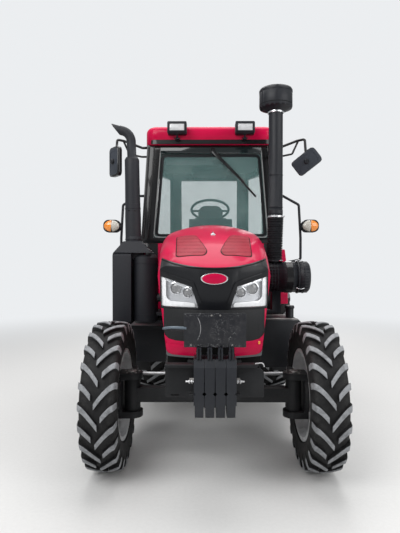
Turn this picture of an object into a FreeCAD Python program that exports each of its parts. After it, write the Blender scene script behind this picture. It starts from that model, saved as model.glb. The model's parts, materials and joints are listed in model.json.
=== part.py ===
import FreeCAD, Part
import Sketcher
import math
import os
import re

# A four-wheel-drive farm tractor with a cab, in millimetres.
# It faces -Y and stands on z = 0, and the origin is the middle of its footprint.
# A place along Y whose name ends in _y counts from the front axle, and grows to the rear.

SIZES = [
    # alias, millimetres, meaning
    ("wheelbase", 2200, "front axle to rear axle"),
    ("front_axle_y", -1240, "front axle from the origin"),
    ("front_track", 1477, "between the middles of the front tyres"),
    ("rear_track", 1370, "between the middles of the rear tyres"),
    ("front_tyre_radius", 525, "front tyre over its lugs"),
    ("front_tyre_width", 240, "front tyre section"),
    ("front_lugs", 24, "lugs on each side of a front tyre"),
    ("front_lug_height", 32, "front tyre lug"),
    ("front_lug_width", 30, "front tyre lug along the tread"),
    ("front_rim_radius", 305, "front rim bead seat"),
    ("front_rim_width", 205, "front rim over its flanges"),
    ("rear_tyre_radius", 710, "rear tyre over its lugs"),
    ("rear_tyre_width", 378, "rear tyre section"),
    ("rear_lugs", 24, "lugs on each side of a rear tyre"),
    ("rear_lug_height", 38, "rear tyre lug"),
    ("rear_lug_width", 42, "rear tyre lug along the tread"),
    ("rear_rim_radius", 381, "rear rim bead seat"),
    ("rear_rim_width", 335, "rear rim over its flanges"),
    ("rim_flange", 20, "rim flange above the bead seat"),
    ("rim_wall", 7, "rim plate"),
    ("rim_drop", 22, "depth of the rim's well"),
    ("bearing_gap", 0.05, "shaft to its bore, on the radius"),
    ("seat_gap", 0.3, "between curved pieces that seat on each other"),
    ("motion_gap", 6, "between pieces that move past each other"),

    ("kingpin_inset", 153.5, "kingpin inboard of the front tyre's middle"),
    ("kingpin_radius", 22, "kingpin"),
    ("axle_beam_height", 100, "front axle beam"),
    ("axle_beam_depth", 90, "front axle beam along the tractor"),
    ("swivel_radius", 58, "beam end inside the knuckle"),
    ("swivel_height", 230, "beam end inside the knuckle"),
    ("knuckle_arm", 44, "knuckle arms above and below the beam end"),
    ("knuckle_radius", 76, "knuckle arms round the kingpin"),
    ("final_drive_radius", 125, "front final drive housing"),
    ("front_disc_x", 8, "front wheel disc outboard of the tyre's middle"),
    ("front_hub_radius", 88, "front wheel hub"),
    ("front_hub_length", 72, "front wheel hub outboard of the disc"),
    ("spindle_radius", 38, "spindle in the final drive"),
    ("front_spindle_length", 60, "spindle in the final drive"),
    ("steering_arm", 150, "kingpin to the steering rod's eye"),
    ("steering_arm_thick", 24, "steering arm"),
    ("steering_rod_radius", 13, "steering cylinder rod"),
    ("steering_barrel_radius", 30, "steering cylinder barrel"),
    ("steering_barrel_length", 380, "steering cylinder barrel"),
    ("rod_eye_radius", 24, "steering rod eye"),
    ("pivot_radius", 30, "front axle pivot pin"),
    ("pivot_lug", 45, "front axle pivot lug along the pin"),
    ("axle_case_radius", 100, "front differential case"),

    ("bracket_width", 330, "front axle bracket"),
    ("bracket_bottom", 715, "front axle bracket underside"),
    ("bracket_top", 880, "front axle bracket upper side"),
    ("bracket_rear_y", 220, "front axle bracket rear face"),
    ("carrier_front_y", -555, "weight carrier plate front face"),
    ("carrier_thick", 24, "weight carrier plate"),
    ("carrier_width", 600, "weight carrier plate"),
    ("carrier_bottom", 664, "weight carrier plate lower edge"),
    ("carrier_top", 872, "weight carrier plate upper edge"),
    ("weight_count", 4, "front weights"),
    ("weight_pitch", 62, "between front weights"),
    ("weight_gap", 2, "between neighbouring weights"),
    ("weight_front_y", -720, "front weights front face"),
    ("weight_depth", 125, "front weights below the hook"),
    ("weight_bottom", 589, "front weights lower end"),
    ("weight_top", 927, "front weights shoulder"),
    ("hook_top", 991, "front weights hook"),
    ("hook_width", 26, "front weights hook"),
    ("hook_rail_radius", 20, "rail that the weights hang on"),
    ("plate_width", 360, "blank plate"),
    ("plate_height", 198, "blank plate"),
    ("plate_thick", 4, "blank plate"),

    ("engine_width", 400, "engine block"),
    ("engine_bottom", 600, "engine sump"),
    ("engine_top", 1290, "engine rocker cover"),
    ("engine_rear_y", 850, "engine rear face"),
    ("radiator_width", 520, "radiator"),
    ("radiator_top", 1390, "radiator"),
    ("radiator_front_y", -250, "radiator front face"),
    ("radiator_thick", 110, "radiator"),
    ("gearbox_width", 340, "transmission housing"),
    ("gearbox_bottom", 520, "transmission housing"),
    ("gearbox_top", 940, "transmission housing"),
    ("axle_housing_front_y", 1960, "rear axle housing front face"),
    ("axle_housing_rear_y", 2430, "rear axle housing rear face"),
    ("axle_housing_width", 440, "rear axle housing"),
    ("axle_housing_bottom", 470, "rear axle housing"),
    ("axle_housing_top", 1000, "rear axle housing"),
    ("trumpet_radius", 98, "rear axle tube"),
    ("trumpet_end_x", 545, "rear axle tube end"),
    ("trumpet_flange_radius", 150, "rear axle tube flange"),
    ("rear_disc_x", -70, "rear wheel disc from the tyre's middle"),
    ("rear_hub_radius", 105, "rear wheel hub"),
    ("rear_hub_length", 95, "rear wheel hub outboard of the disc"),
    ("rear_spindle_radius", 48, "rear axle shaft"),
    ("rear_spindle_length", 120, "rear axle shaft inboard of the disc"),
    ("drive_shaft_radius", 30, "shaft to the front axle"),
    ("drive_shaft_z", 505, "shaft to the front axle"),

    ("hood_front_y", -525, "hood nose, on the middle line"),
    ("hood_rear_y", 880, "hood rear edge"),
    ("hood_bottom", 905, "hood nose lower edge"),
    ("hood_side_bottom", 1130, "hood side lower edge at the rear"),
    ("hood_wall", 14, "hood panel"),
    ("nose_bow", 120, "how far the nose is bowed over its width"),
    ("mask_bottom", 1190, "headlamp mask lower edge"),
    ("mask_top", 1450, "hood lip on the middle line"),
    ("mask_width", 690, "headlamp mask"),
    ("grille_width", 640, "nose grille"),
    ("grille_bottom", 987, "nose grille lower edge"),
    ("lamp_outer_x", 338, "headlamp outer edge"),
    ("lamp_inner_x", 100, "headlamp lower inner corner"),
    ("lamp_top", 1395, "headlamp outer upper corner"),
    ("lamp_bottom", 1203, "headlamp lower edge"),
    ("hood_hinge_y", 905, "hood hinge"),
    ("hood_hinge_z", 1690, "hood hinge"),
    ("hood_hinge_radius", 14, "hood hinge pin"),
    ("hood_arm_height", 72, "hood hinge arm up to the skin"),

    ("cab_front_y", 1020, "cab front face"),
    ("cab_rear_y", 2380, "cab rear face"),
    ("cab_wall", 50, "cab frames and doors"),
    ("cab_floor_z", 985, "underside of the cab floor"),
    ("floor_thick", 45, "cab floor"),
    ("cab_waist_z", 1690, "widest line of the cab"),
    ("cab_top_z", 2580, "top of the cab frames"),
    ("cab_floor_half", 590, "cab half width at the floor"),
    ("cab_waist_half", 660, "cab half width at the waist"),
    ("cab_top_half", 600, "cab half width at the top"),
    ("cab_rear_half", 455, "cab rear wall half width"),
    ("cowl_top", 1655, "red front wall upper edge"),
    ("screen_bottom", 1706, "windscreen lower edge"),
    ("screen_top", 2513, "windscreen upper edge"),
    ("screen_bottom_half", 545, "windscreen half width at the bottom"),
    ("screen_top_half", 480, "windscreen half width at the top"),
    ("glass_thick", 6, "window glass"),
    ("door_rear_y", 1780, "door hinge edge"),
    ("door_gap", 6, "round the doors"),
    ("door_border", 58, "door frame round its glass"),
    ("hinge_reach", 22, "door hinge axis outside the cab's widest line"),
    ("hinge_radius", 13, "door hinge barrel"),
    ("hinge_pin_radius", 8, "door hinge pin"),
    ("hinge_height", 60, "door hinge barrel"),
    ("hinge_lug", 16, "fixed lug above and below the barrel"),
    ("roof_front_y", 975, "roof front edge"),
    ("roof_rear_y", 2470, "roof rear edge"),
    ("roof_half", 612, "roof half width"),
    ("roof_height", 172, "roof"),
    ("roof_corner", 110, "roof corners in plan"),
    ("roof_edge", 58, "roof upper edge"),
    ("fender_outer_x", 800, "fender outer edge"),
    ("fender_inner_x", 462, "fender inner wall"),
    ("fender_top", 1610, "fender upper side"),
    ("fender_wall", 14, "fender sheet"),
    ("fender_front_y", 1400, "fender front edge"),
    ("fender_rear_y", 2960, "fender rear edge"),
    ("seat_back_y", 370, "seat middle ahead of the cab's rear face"),
    ("deck_reach", 330, "raised deck ahead of the seat's middle"),
    ("seat_width", 480, "seat"),
    ("wheel_y", 1590, "steering wheel middle"),
    ("wheel_z", 2030, "steering wheel middle"),
    ("wheel_radius", 197, "steering wheel rim middle"),
    ("wheel_rim_radius", 13, "steering wheel rim"),
    ("wheel_tilt", 25, "steering column from upright, degrees"),
    ("column_radius", 20, "steering column"),
    ("column_length", 560, "steering column"),
    ("deck_height", 230, "raised deck above the cab floor"),

    ("cleaner_y", 420, "air cleaner and snorkel"),
    ("cleaner_z", 1358, "air cleaner axis"),
    ("cleaner_radius", 120, "air cleaner"),
    ("cleaner_inner_x", 425, "air cleaner inner end"),
    ("cleaner_outer_x", 783, "air cleaner outer end"),
    ("cleaner_cap", 97, "air cleaner end cap"),
    ("snorkel_x", 518, "snorkel pipe"),
    ("snorkel_radius", 57, "snorkel pipe"),
    ("snorkel_foot_x", 506, "snorkel at the air cleaner"),
    ("bellows_bottom", 1500, "bellows lower clamp"),
    ("bellows_top", 1840, "bellows upper clamp"),
    ("bellows_pitch", 20, "between bellows folds"),
    ("snorkel_top", 2700, "snorkel below the pre-cleaner"),
    ("precleaner_radius", 133, "pre-cleaner"),
    ("precleaner_bottom", 2714, "pre-cleaner lower edge"),
    ("precleaner_top", 2882, "pre-cleaner upper side"),
    ("exhaust_y", 500, "exhaust"),
    ("guard_outer_x", 805, "exhaust guard outer side"),
    ("guard_inner_x", 655, "exhaust guard inner side"),
    ("guard_bottom", 975, "exhaust guard"),
    ("guard_top", 1555, "exhaust guard"),
    ("guard_depth", 240, "exhaust guard along the tractor"),
    ("canister_x", 553, "exhaust canister axis"),
    ("canister_radius", 104, "exhaust canister"),
    ("muffler_cap_height", 95, "sloping cap on the guard box"),
    ("muffler_foot_x", 652, "muffler axis at its foot"),
    ("muffler_head_x", 664, "muffler axis at its head"),
    ("muffler_radius", 60, "muffler"),
    ("muffler_top", 2347, "muffler shoulder"),
    ("tail_radius", 38, "exhaust tail pipe"),
    ("tail_top", 2562, "exhaust tail pipe axis after the bend"),
    ("tail_reach", 836, "exhaust outlet from the middle"),

    ("tank_inner_x", 400, "fuel tank"),
    ("tank_outer_x", 790, "fuel tank"),
    ("tank_front_y", 665, "fuel tank"),
    ("tank_rear_y", 1085, "fuel tank"),
    ("tank_bottom", 560, "fuel tank"),
    ("tank_top", 975, "fuel tank"),
    ("filler_radius", 36, "fuel filler neck"),
    ("step_front_y", 1115, "cab steps front edge"),
    ("step_width", 285, "cab steps along the tractor"),
    ("step_outer_x", 835, "lower step's outer edge"),
    ("step_depth", 215, "tread of a step"),
    ("step_low", 440, "lower step"),
    ("step_high", 715, "upper step"),
    ("step_thick", 26, "tread of a step"),
    ("step_plate", 8, "side plate of the steps"),
    ("mirror_x", 890, "mirror middle"),
    ("mirror_z", 2412, "mirror middle"),
    ("mirror_forward", 52, "mirror middle ahead of the cab's front face"),
    ("mirror_width", 170, "mirror"),
    ("mirror_height", 270, "mirror"),
    ("mirror_thick", 42, "mirror"),
    ("mirror_turn", 52, "right mirror folded back, degrees"),
    ("mirror_roll", 28, "left mirror turned on its bar, degrees"),
    ("mirror_pitch", 40, "left mirror tipped forward, degrees"),
    ("rail_radius", 12, "grab rail and mirror arm"),
    ("lamp_x", 930, "turn lamp middle"),
    ("lamp_z", 1815, "turn lamp middle"),
    ("lamp_width", 158, "turn lamp"),
    ("lamp_height", 118, "turn lamp"),
    ("roof_lamp_x", 312, "roof lamp middle"),
    ("roof_lamp_z", 2710, "roof lamp middle"),
    ("roof_lamp_width", 178, "roof lamp"),
    ("roof_lamp_height", 110, "roof lamp"),
    ("roof_lamp_depth", 80, "roof lamp"),

    ("pto_radius", 17.5, "power take-off shaft"),
    ("pto_z", 640, "power take-off shaft"),
    ("pto_length", 90, "power take-off shaft behind the housing"),
    ("link_pivot_y", 2330, "lower link front pivot"),
    ("link_pivot_z", 520, "lower link front pivot"),
    ("link_x", 270, "lower link at its pivot"),
    ("link_end_x", 395, "lower link ball"),
    ("link_end_y", 3160, "lower link ball"),
    ("link_end_z", 560, "lower link ball"),
    ("link_height", 62, "lower link bar"),
    ("link_thick", 22, "lower link bar"),
    ("link_ball_bore", 14.35, "lower link ball bore radius"),
    ("link_eye_radius", 42, "lower link ball eye"),
    ("link_pin_radius", 14, "lower link pivot pin"),
    ("lift_shaft_y", 2330, "lift rocker shaft"),
    ("lift_shaft_z", 1075, "lift rocker shaft"),
    ("lift_shaft_radius", 35, "lift rocker shaft"),
    ("lift_arm_y", 2640, "lift arm end"),
    ("lift_arm_z", 1120, "lift arm end"),
    ("lift_arm_x", 300, "lift arm"),
    ("lift_arm_thick", 30, "lift arm"),
    ("lift_rod_foot_x", 376, "lift rod at the lower link"),
    ("lift_rod_foot_y", 2780, "lift rod at the lower link"),
    ("lift_rod_foot_z", 542, "lift rod at the lower link"),
    ("lift_rod_radius", 17, "lift rod"),
    ("lift_pin_radius", 12, "lift rod pin"),
    ("top_link_pivot_y", 2490, "top link front pivot"),
    ("top_link_pivot_z", 860, "top link front pivot"),
    ("top_link_length", 560, "top link"),
    ("top_link_lean", 80, "top link stowed, degrees above level"),
    ("top_link_radius", 24, "top link tube"),
    ("top_link_bore", 9.6, "top link rear bore radius"),
    ("drawbar_z", 420, "drawbar"),
    ("drawbar_width", 90, "drawbar"),
    ("drawbar_thick", 34, "drawbar"),
    ("drawbar_end_y", 2860, "drawbar hole"),
    ("drawbar_bore", 15, "drawbar hole radius"),
]

# Places that follow from the sizes.
PLACES = {
    "rear_axle_y": "front_axle_y + wheelbase",
    "front_wheel_x": "front_track / 2",
    "rear_wheel_x": "rear_track / 2",
    "kingpin_x": "front_wheel_x - kingpin_inset",
    "beam_z": "front_tyre_radius",
    "swivel_bottom": "front_tyre_radius - swivel_height / 2",
    "swivel_top": "front_tyre_radius + swivel_height / 2",
    "knuckle_bottom": "swivel_bottom - seat_gap - knuckle_arm",
    "knuckle_top": "swivel_top + seat_gap + knuckle_arm",
    "pivot_z": "bracket_bottom - pivot_radius - 21",
    "rod_z": "knuckle_top - steering_arm_thick - rod_eye_radius - 1",
    "floor_top": "cab_floor_z + floor_thick",
    "weights_half": "weight_pitch * weight_count / 2",
    "door_hinge_x": "max(cab_waist_half; cab_top_half) + hinge_reach",
    "hinge_root_x": "min(cab_waist_half; cab_top_half) - 20",
    "door_hinge_y": "door_rear_y - door_gap / 2",
    "seat_y": "cab_rear_y - seat_back_y",
    "deck_front_y": "seat_y - deck_reach",
    "deck_top": "floor_top + deck_height",
    "deck_bottom": "deck_top - floor_thick",
}

doc = FreeCAD.newDocument("FarmTractor")
sheet = doc.addObject("Spreadsheet::Sheet", "Sizes")
for row, (alias, number, meaning) in enumerate(SIZES, start=1):
    sheet.set("A%d" % row, meaning)
    sheet.set("B%d" % row, str(number))
    sheet.setAlias("B%d" % row, alias)
doc.recompute()
ALIASES = {alias for alias, number, meaning in SIZES}
Vec = FreeCAD.Vector
nodes = []


def formula(text):
    """The text with its sizes named as cells of the sheet."""
    def named(match):
        word = match.group(0)
        if word in PLACES:
            return "(" + formula(PLACES[word]) + ")"
        if word in ALIASES:
            return "Sizes." + word
        return word
    return re.sub(r"[a-z][a-z_0-9]*", named, str(text))


def value(text):
    """The number that a formula gives."""
    return float(sheet.evalExpression(formula(text)))


def along(place_y):
    """A place counted from the front axle, as a formula in the tractor's frame."""
    return "front_axle_y + (%s)" % place_y


def bind(thing, prop, text):
    thing.setExpression(prop, formula(text))


def node(thing, label):
    """Names a finished sub-part, which becomes a file of its own."""
    thing.Label = label
    nodes.append(thing)
    return thing


def box(name, x0, x1, y0, y1, z0, z1):
    """A block between two corners, each a formula."""
    block = doc.addObject("Part::Box", name)
    bind(block, "Placement.Base.x", x0)
    bind(block, "Placement.Base.y", y0)
    bind(block, "Placement.Base.z", z0)
    bind(block, "Length", "(%s) - (%s)" % (x1, x0))
    bind(block, "Width", "(%s) - (%s)" % (y1, y0))
    bind(block, "Height", "(%s) - (%s)" % (z1, z0))
    return block


TURNS = {
    "x": FreeCAD.Rotation(Vec(0, 1, 0), 90),
    "y": FreeCAD.Rotation(Vec(1, 0, 0), -90),
    "z": FreeCAD.Rotation(),
}


def cylinder(name, axis, radius, start, length):
    """A round bar along an axis, from its start point."""
    bar = doc.addObject("Part::Cylinder", name)
    bar.Placement.Rotation = TURNS[axis]
    for letter, text in zip("xyz", start):
        bind(bar, "Placement.Base." + letter, text)
    bind(bar, "Radius", radius)
    bind(bar, "Height", length)
    return bar


def fuse(name, things):
    joined = doc.addObject("Part::MultiFuse", name)
    joined.Shapes = things
    joined.Refine = True
    return joined


def cut(name, base, tools):
    """The base less every tool."""
    tool = tools[0]
    if len(tools) > 1:
        tool = doc.addObject("Part::Compound", name + "_tools")
        tool.Links = tools
    less = doc.addObject("Part::Cut", name)
    less.Base = base
    less.Tool = tool
    return less


def common(name, first, second):
    part = doc.addObject("Part::Common", name)
    part.Base = first
    part.Tool = second
    return part


def together(name, things):
    """Solids that stay apart and share a node."""
    group = doc.addObject("Part::Compound", name)
    group.Links = things
    return group


def mirrored(name, thing):
    """The same piece on the other side of the tractor."""
    other = doc.addObject("Part::Mirroring", name)
    other.Source = thing
    other.Normal = Vec(1, 0, 0)
    return other


PLANES = {"x": "YZ_Plane", "y": "XZ_Plane", "z": "XY_Plane"}


def outline(body, name, axis, at, corners):
    """A closed sketch across an axis of its body; each corner is two formulas."""
    plane = [o for o in body.Origin.OriginFeatures if o.Role == PLANES[axis]][0]
    sketch = body.newObject("Sketcher::SketchObject", name)
    sketch.AttachmentSupport = [(plane, "")]
    sketch.MapMode = "FlatFace"
    side = "-1" if axis == "y" else "1"
    bind(sketch, "AttachmentOffset.Base.z", "%s * (%s)" % (side, at))
    points = [Vec(value(u), value(v), 0) for u, v in corners]
    count = len(points)
    for i in range(count):
        sketch.addGeometry(Part.LineSegment(points[i], points[(i + 1) % count]), False)
    for i in range(count):
        sketch.addConstraint(Sketcher.Constraint("Coincident", i, 2, (i + 1) % count, 1))
    for i, corner in enumerate(corners):
        for kind, place, text in zip(("DistanceX", "DistanceY"), points[i], corner):
            number = sketch.addConstraint(Sketcher.Constraint(kind, -1, 1, i, 1, place))
            bind(sketch, "Constraints[%d]" % number, text)
    return sketch


def prism(name, axis, start, end, corners):
    """A body padded along an axis between two places."""
    body = doc.addObject("PartDesign::Body", name)
    first = end if axis == "y" else start
    sketch = outline(body, name + "_outline", axis, first, corners)
    pad = body.newObject("PartDesign::Pad", name + "_pad")
    pad.Profile = sketch
    bind(pad, "Length", "(%s) - (%s)" % (end, start))
    body.Tip = pad
    return body


def turned(name, corners, x, y, z):
    """A body turned about its own X axis; each corner is a place along X and a radius."""
    body = doc.addObject("PartDesign::Body", name)
    sketch = outline(body, name + "_outline", "y", "0", corners)
    spin = body.newObject("PartDesign::Revolution", name + "_turn")
    spin.Profile = sketch
    spin.ReferenceAxis = (sketch, ["H_Axis"])
    spin.Angle = 360
    body.Tip = spin
    for letter, text in zip("xyz", (x, y, z)):
        bind(body, "Placement.Base." + letter, text)
    return body


def rounded(body, name, radius, wanted):
    """Fillets the body's edges that the test accepts."""
    doc.recompute()
    tip = body.Tip
    edges = ["Edge%d" % (i + 1) for i, edge in enumerate(tip.Shape.Edges) if wanted(edge)]
    fillet = body.newObject("PartDesign::Fillet", name)
    fillet.Base = (tip, edges)
    bind(fillet, "Radius", radius)
    body.Tip = fillet
    return body


def shaped(name, shape):
    """A sub-part whose form needs Part's own functions."""
    feature = doc.addObject("Part::Feature", name)
    feature.Shape = shape
    return feature


def rod(start, end, radius):
    """A round bar between two points, each three formulas."""
    first = Vec(*[value(text) for text in start])
    last = Vec(*[value(text) for text in end])
    run = last - first
    return Part.makeCylinder(value(radius), run.Length, first, run)


def bent_tube(points, radius, bend):
    """A round bar through points, its corners turned by arcs of the bend radius."""
    places = [Vec(*[value(text) for text in point]) for point in points]
    thick = value(radius)
    pieces = []
    last = places[0]
    for before, corner, after in zip(places, places[1:], places[2:]):
        back = (before - corner).normalize()
        on = (after - corner).normalize()
        half = back.getAngle(on) / 2
        reach = value(bend) / math.tan(half)
        start = corner + back * reach
        middle = corner + (back + on).normalize() * (value(bend) / math.sin(half))
        disc = Part.Face(Part.Wire(Part.makeCircle(thick, start, back)))
        pieces.append(disc.revolve(middle, on.cross(back), 180 - math.degrees(2 * half)))
        pieces.append(Part.makeCylinder(thick, (start - last).Length, last, start - last))
        last = corner + on * reach
    pieces.append(Part.makeCylinder(thick, (places[-1] - last).Length, last, places[-1] - last))
    return pieces[0].fuse(pieces[1:])


def left_and_right(left):
    """The label of a left piece, as that of the right one."""
    return left.replace("left", "right")


def pair(thing, label):
    """A left piece and its mirror image, each a node."""
    node(thing, label)
    return node(mirrored(left_and_right(label) + "_image", thing), left_and_right(label))


# Tyres and wheels

def tread_point(angle, x, radius):
    return Vec(x, -radius * math.sin(angle), radius * math.cos(angle))


def tyre(end):
    """A ribbed tyre about X: flat facets all round, each tread facet with one lug that leans to the shoulder."""
    lugs_a_side = int(round(value(end + "_lugs")))
    radius = value(end + "_tyre_radius")
    width = value(end + "_tyre_width")
    tread = radius - value(end + "_lug_height")
    half_lug = value(end + "_lug_width") / tread / 2
    bead = value(end + "_rim_radius + seat_gap")
    seat = value(end + "_rim_width / 2 - rim_wall - seat_gap")
    flange = value(end + "_rim_radius + rim_flange + 4")
    crown = 0.008 * width
    # place along the axle, radius: from the crown over the shoulder and the side to the bead
    section = [(crown, tread), (width * 0.47, tread - 0.07 * radius), (width / 2, (bead + radius) / 2),
               (seat, flange), (seat, bead)]
    pitch = 2 * math.pi / lugs_a_side
    grow = 1 / math.cos(pitch / 2)
    faces = []
    holed = []
    for side in (-1, 1):
        for i in range(lugs_a_side):
            first = (i - 0.5 + 0.25 * side) * pitch
            here = [tread_point(first, side * x, r * grow) for x, r in section]
            there = [tread_point(first + pitch, side * x, r * grow) for x, r in section]
            for j in range(1, len(section) - 1):
                faces.append([here[j], here[j + 1], there[j + 1], there[j]])
            corners = [here[0], here[1], there[1], there[0]]
            normal = (corners[1] - corners[0]).cross(corners[3] - corners[0]).normalize()
            inner = (0.02 if i % 2 else 0.15) * width
            outer = 0.455 * width
            lean = min((outer - inner) / tread * 0.8, pitch - 2.9 * half_lug - 0.012)
            start = first + (pitch - lean) / 2
            # angle, place along the axle, flare of the foot
            ring = [(start + lean - half_lug * 1.2, inner, -1), (start - half_lug, outer, -1),
                    (start + half_lug, outer, 1), (start + lean + half_lug * 1.2, inner, 1)]
            top = []
            foot = []
            for angle, x, flare in ring:
                top.append(tread_point(angle, side * x, radius - 0.03 * radius * (x / (width / 2)) ** 2))
                wide = tread_point(angle + flare * 0.16 * half_lug, 0, 1)
                reach = (normal.dot(corners[0]) - normal.x * side * x) / normal.dot(wide)
                foot.append(Vec(side * x, 0, 0) + wide * reach)
            for j in range(4):
                k = (j + 1) % 4
                faces.append([top[j], foot[j], foot[k]])
                faces.append([top[j], foot[k], top[k]])
            faces.append([top[0], top[1], top[2]])
            faces.append([top[0], top[2], top[3]])
            rings = [Part.makePolygon(corners + corners[:1]), Part.makePolygon(foot + foot[:1])]
            holed.append(Part.makeFace(rings, "Part::FaceMakerBullseye"))
    for i in range(lugs_a_side):
        left = [(i - 0.75 + n) * pitch for n in (0, 1)]
        right = [(i - 0.25 + n) * pitch for n in (0, 1)]
        low = [tread_point(angle, -crown, tread * grow) for angle in left]
        high = [tread_point(angle, crown, tread * grow) for angle in right]
        faces.append([low[0], low[1], high[0]])
        faces.append([low[1], high[1], high[0]])
        bead_low = [tread_point(angle, -seat, bead * grow) for angle in left]
        bead_high = [tread_point(angle, seat, bead * grow) for angle in right]
        faces.append([bead_low[0], bead_low[1], bead_high[0]])
        faces.append([bead_low[1], bead_high[1], bead_high[0]])
    flat = [Part.Face(Part.makePolygon(face + face[:1])) for face in faces]
    shell = Part.makeShell(flat + holed)
    shell.sewShape()
    solid = Part.Solid(shell if shell.ShapeType == "Shell" else shell.Shells[0])
    if solid.Volume < 0:
        solid.reverse()
    return solid


def wheel(end):
    """The profile of a rim with its disc, hub and spindle, outboard along +X."""
    radius = end + "_rim_radius"
    half = end + "_rim_width / 2"
    disc = end + "_disc_x"
    hub = end + "_hub_radius"
    spindle = "spindle_radius" if end == "front" else "rear_spindle_radius"
    corners = [
        ("-%s" % half, "%s - rim_wall" % radius),
        ("-%s" % half, "%s + rim_flange" % radius),
        ("-%s + rim_wall" % half, "%s + rim_flange" % radius),
        ("-%s + rim_wall" % half, radius),
        ("-%s * 0.62" % half, radius),
        ("-%s * 0.45" % half, "%s - rim_drop" % radius),
        ("%s * 0.45" % half, "%s - rim_drop" % radius),
        ("%s * 0.62" % half, radius),
        ("%s - rim_wall" % half, radius),
        ("%s - rim_wall" % half, "%s + rim_flange" % radius),
        (half, "%s + rim_flange" % radius),
        (half, "%s - rim_wall" % radius),
        ("%s * 0.64" % half, "%s - rim_wall" % radius),
        ("%s * 0.47" % half, "%s - rim_drop - rim_wall" % radius),
        ("%s + rim_wall" % disc, "%s - rim_drop - rim_wall" % radius),
        ("%s + rim_wall + %s" % (disc, "30"), "%s + 45" % hub),
        ("%s + rim_wall + %s" % (disc, "30"), hub),
        ("%s + %s_hub_length" % (disc, end), "%s * 0.86" % hub),
        ("%s + %s_hub_length" % (disc, end), "0"),
        ("%s - %s_spindle_length" % (disc, end), "0"),
        ("%s - %s_spindle_length" % (disc, end), spindle),
        (disc, spindle),
        (disc, "%s - rim_drop - rim_wall" % radius),
        ("-%s * 0.47" % half, "%s - rim_drop - rim_wall" % radius),
        ("-%s * 0.64" % half, "%s - rim_wall" % radius),
    ]
    return turned("rim_" + end, corners, end + "_wheel_x", end + "_axle_y", end + "_tyre_radius")


for end in ("front", "rear"):
    rubber = shaped("tyre_" + end, tyre(end))
    for letter, text in zip("xyz", (end + "_wheel_x", end + "_axle_y", end + "_tyre_radius")):
        bind(rubber, "Placement.Base." + letter, text)
    pair(rubber, "tyre_%s_left" % end)
    pair(wheel(end), "rim_%s_left" % end)


# Front axle, knuckles and steering

def front_axle():
    """A beam with the differential case, ends for the kingpins and the steering cylinder's barrel."""
    y = "front_axle_y"
    arm = box("axle_arm", "-kingpin_x", "kingpin_x", y + " - axle_beam_depth / 2", y + " + axle_beam_depth / 2",
              "beam_z - axle_beam_height / 2", "beam_z + axle_beam_height / 2")
    case = turned("axle_case", [
        ("-axle_case_radius * 1.5", "0"),
        ("-axle_case_radius * 1.5", "axle_beam_height * 0.56"),
        ("-axle_case_radius * 0.6", "axle_case_radius"),
        ("axle_case_radius * 0.6", "axle_case_radius"),
        ("axle_case_radius * 1.5", "axle_beam_height * 0.56"),
        ("axle_case_radius * 1.5", "0"),
    ], "0", y, "beam_z")
    trunnion = cylinder("axle_trunnion", "y", "pivot_radius",
                        ("0", y + " - 115", "pivot_z"), "230")
    saddle = box("axle_saddle", "-60", "60", y + " - 62", y + " + 62", "beam_z + 30", "pivot_z + 30")
    ends = []
    for side in ("", "-"):
        ends.append(cylinder("swivel_end", "z", "swivel_radius",
                             (side + "kingpin_x", y, "swivel_bottom"), "swivel_height"))
    rod_y = y + " + steering_arm"
    barrel = cylinder("steering_barrel", "x", "steering_barrel_radius",
                      ("-steering_barrel_length / 2", rod_y, "rod_z"), "steering_barrel_length")
    lugs = []
    for side in ("", "-"):
        lugs.append(box("barrel_lug", side + "120 - 25", side + "120 + 25", y + " + 30",
                        rod_y + " - steering_barrel_radius + 8", "beam_z + 20", "rod_z + 14"))
    solid = fuse("front_axle_solid", [arm, case, trunnion, saddle, barrel] + ends + lugs)
    bores = [cylinder("barrel_bore", "x", "steering_rod_radius + bearing_gap",
                      ("-steering_barrel_length", rod_y, "rod_z"), "steering_barrel_length * 2")]
    for side in ("", "-"):
        bores.append(cylinder("kingpin_bore", "z", "kingpin_radius + bearing_gap",
                              (side + "kingpin_x", y, "swivel_bottom - 1"), "swivel_height + 2"))
    return cut("front_axle_body", solid, bores)


def knuckle():
    """Two arms above and below the beam end, the final drive drum outboard and a steering arm behind."""
    y = "front_axle_y"
    inner = "kingpin_x + swivel_radius + motion_gap"
    pieces = []
    for bottom in ("knuckle_bottom", "swivel_top + seat_gap"):
        pieces.append(cylinder("knuckle_arm_round", "z", "knuckle_radius", ("kingpin_x", y, bottom), "knuckle_arm"))
        pieces.append(box("knuckle_arm_bar", "kingpin_x", inner + " + 20", y + " - knuckle_radius",
                          y + " + knuckle_radius", bottom, bottom + " + knuckle_arm"))
    pieces.append(box("knuckle_web", inner, inner + " + 30", y + " - knuckle_radius", y + " + knuckle_radius",
                      "knuckle_bottom", "knuckle_top"))
    pieces.append(cylinder("final_drive", "x", "final_drive_radius", (inner, y, "beam_z"),
                           "front_wheel_x + front_disc_x - motion_gap - (%s)" % inner))
    pieces.append(cylinder("kingpin_low", "z", "kingpin_radius",
                           ("kingpin_x", y, "swivel_bottom - seat_gap - 4"), "60"))
    pieces.append(cylinder("kingpin_high", "z", "kingpin_radius",
                           ("kingpin_x", y, "swivel_top + seat_gap + 4 - 60"), "60"))
    pieces.append(box("steering_arm_bar", "kingpin_x - 22", "kingpin_x + 22", y + " + 20",
                      y + " + steering_arm", "knuckle_top - steering_arm_thick", "knuckle_top"))
    pieces.append(cylinder("steering_arm_eye", "z", "22",
                           ("kingpin_x", y + " + steering_arm", "knuckle_top - steering_arm_thick"),
                           "steering_arm_thick"))
    solid = fuse("knuckle_solid", pieces)
    bore = cylinder("spindle_bore", "x", "spindle_radius + bearing_gap",
                    ("front_wheel_x + front_disc_x - front_spindle_length - 2", y, "beam_z"),
                    "front_spindle_length + 10")
    return cut("knuckle_body", solid, [bore])


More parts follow.
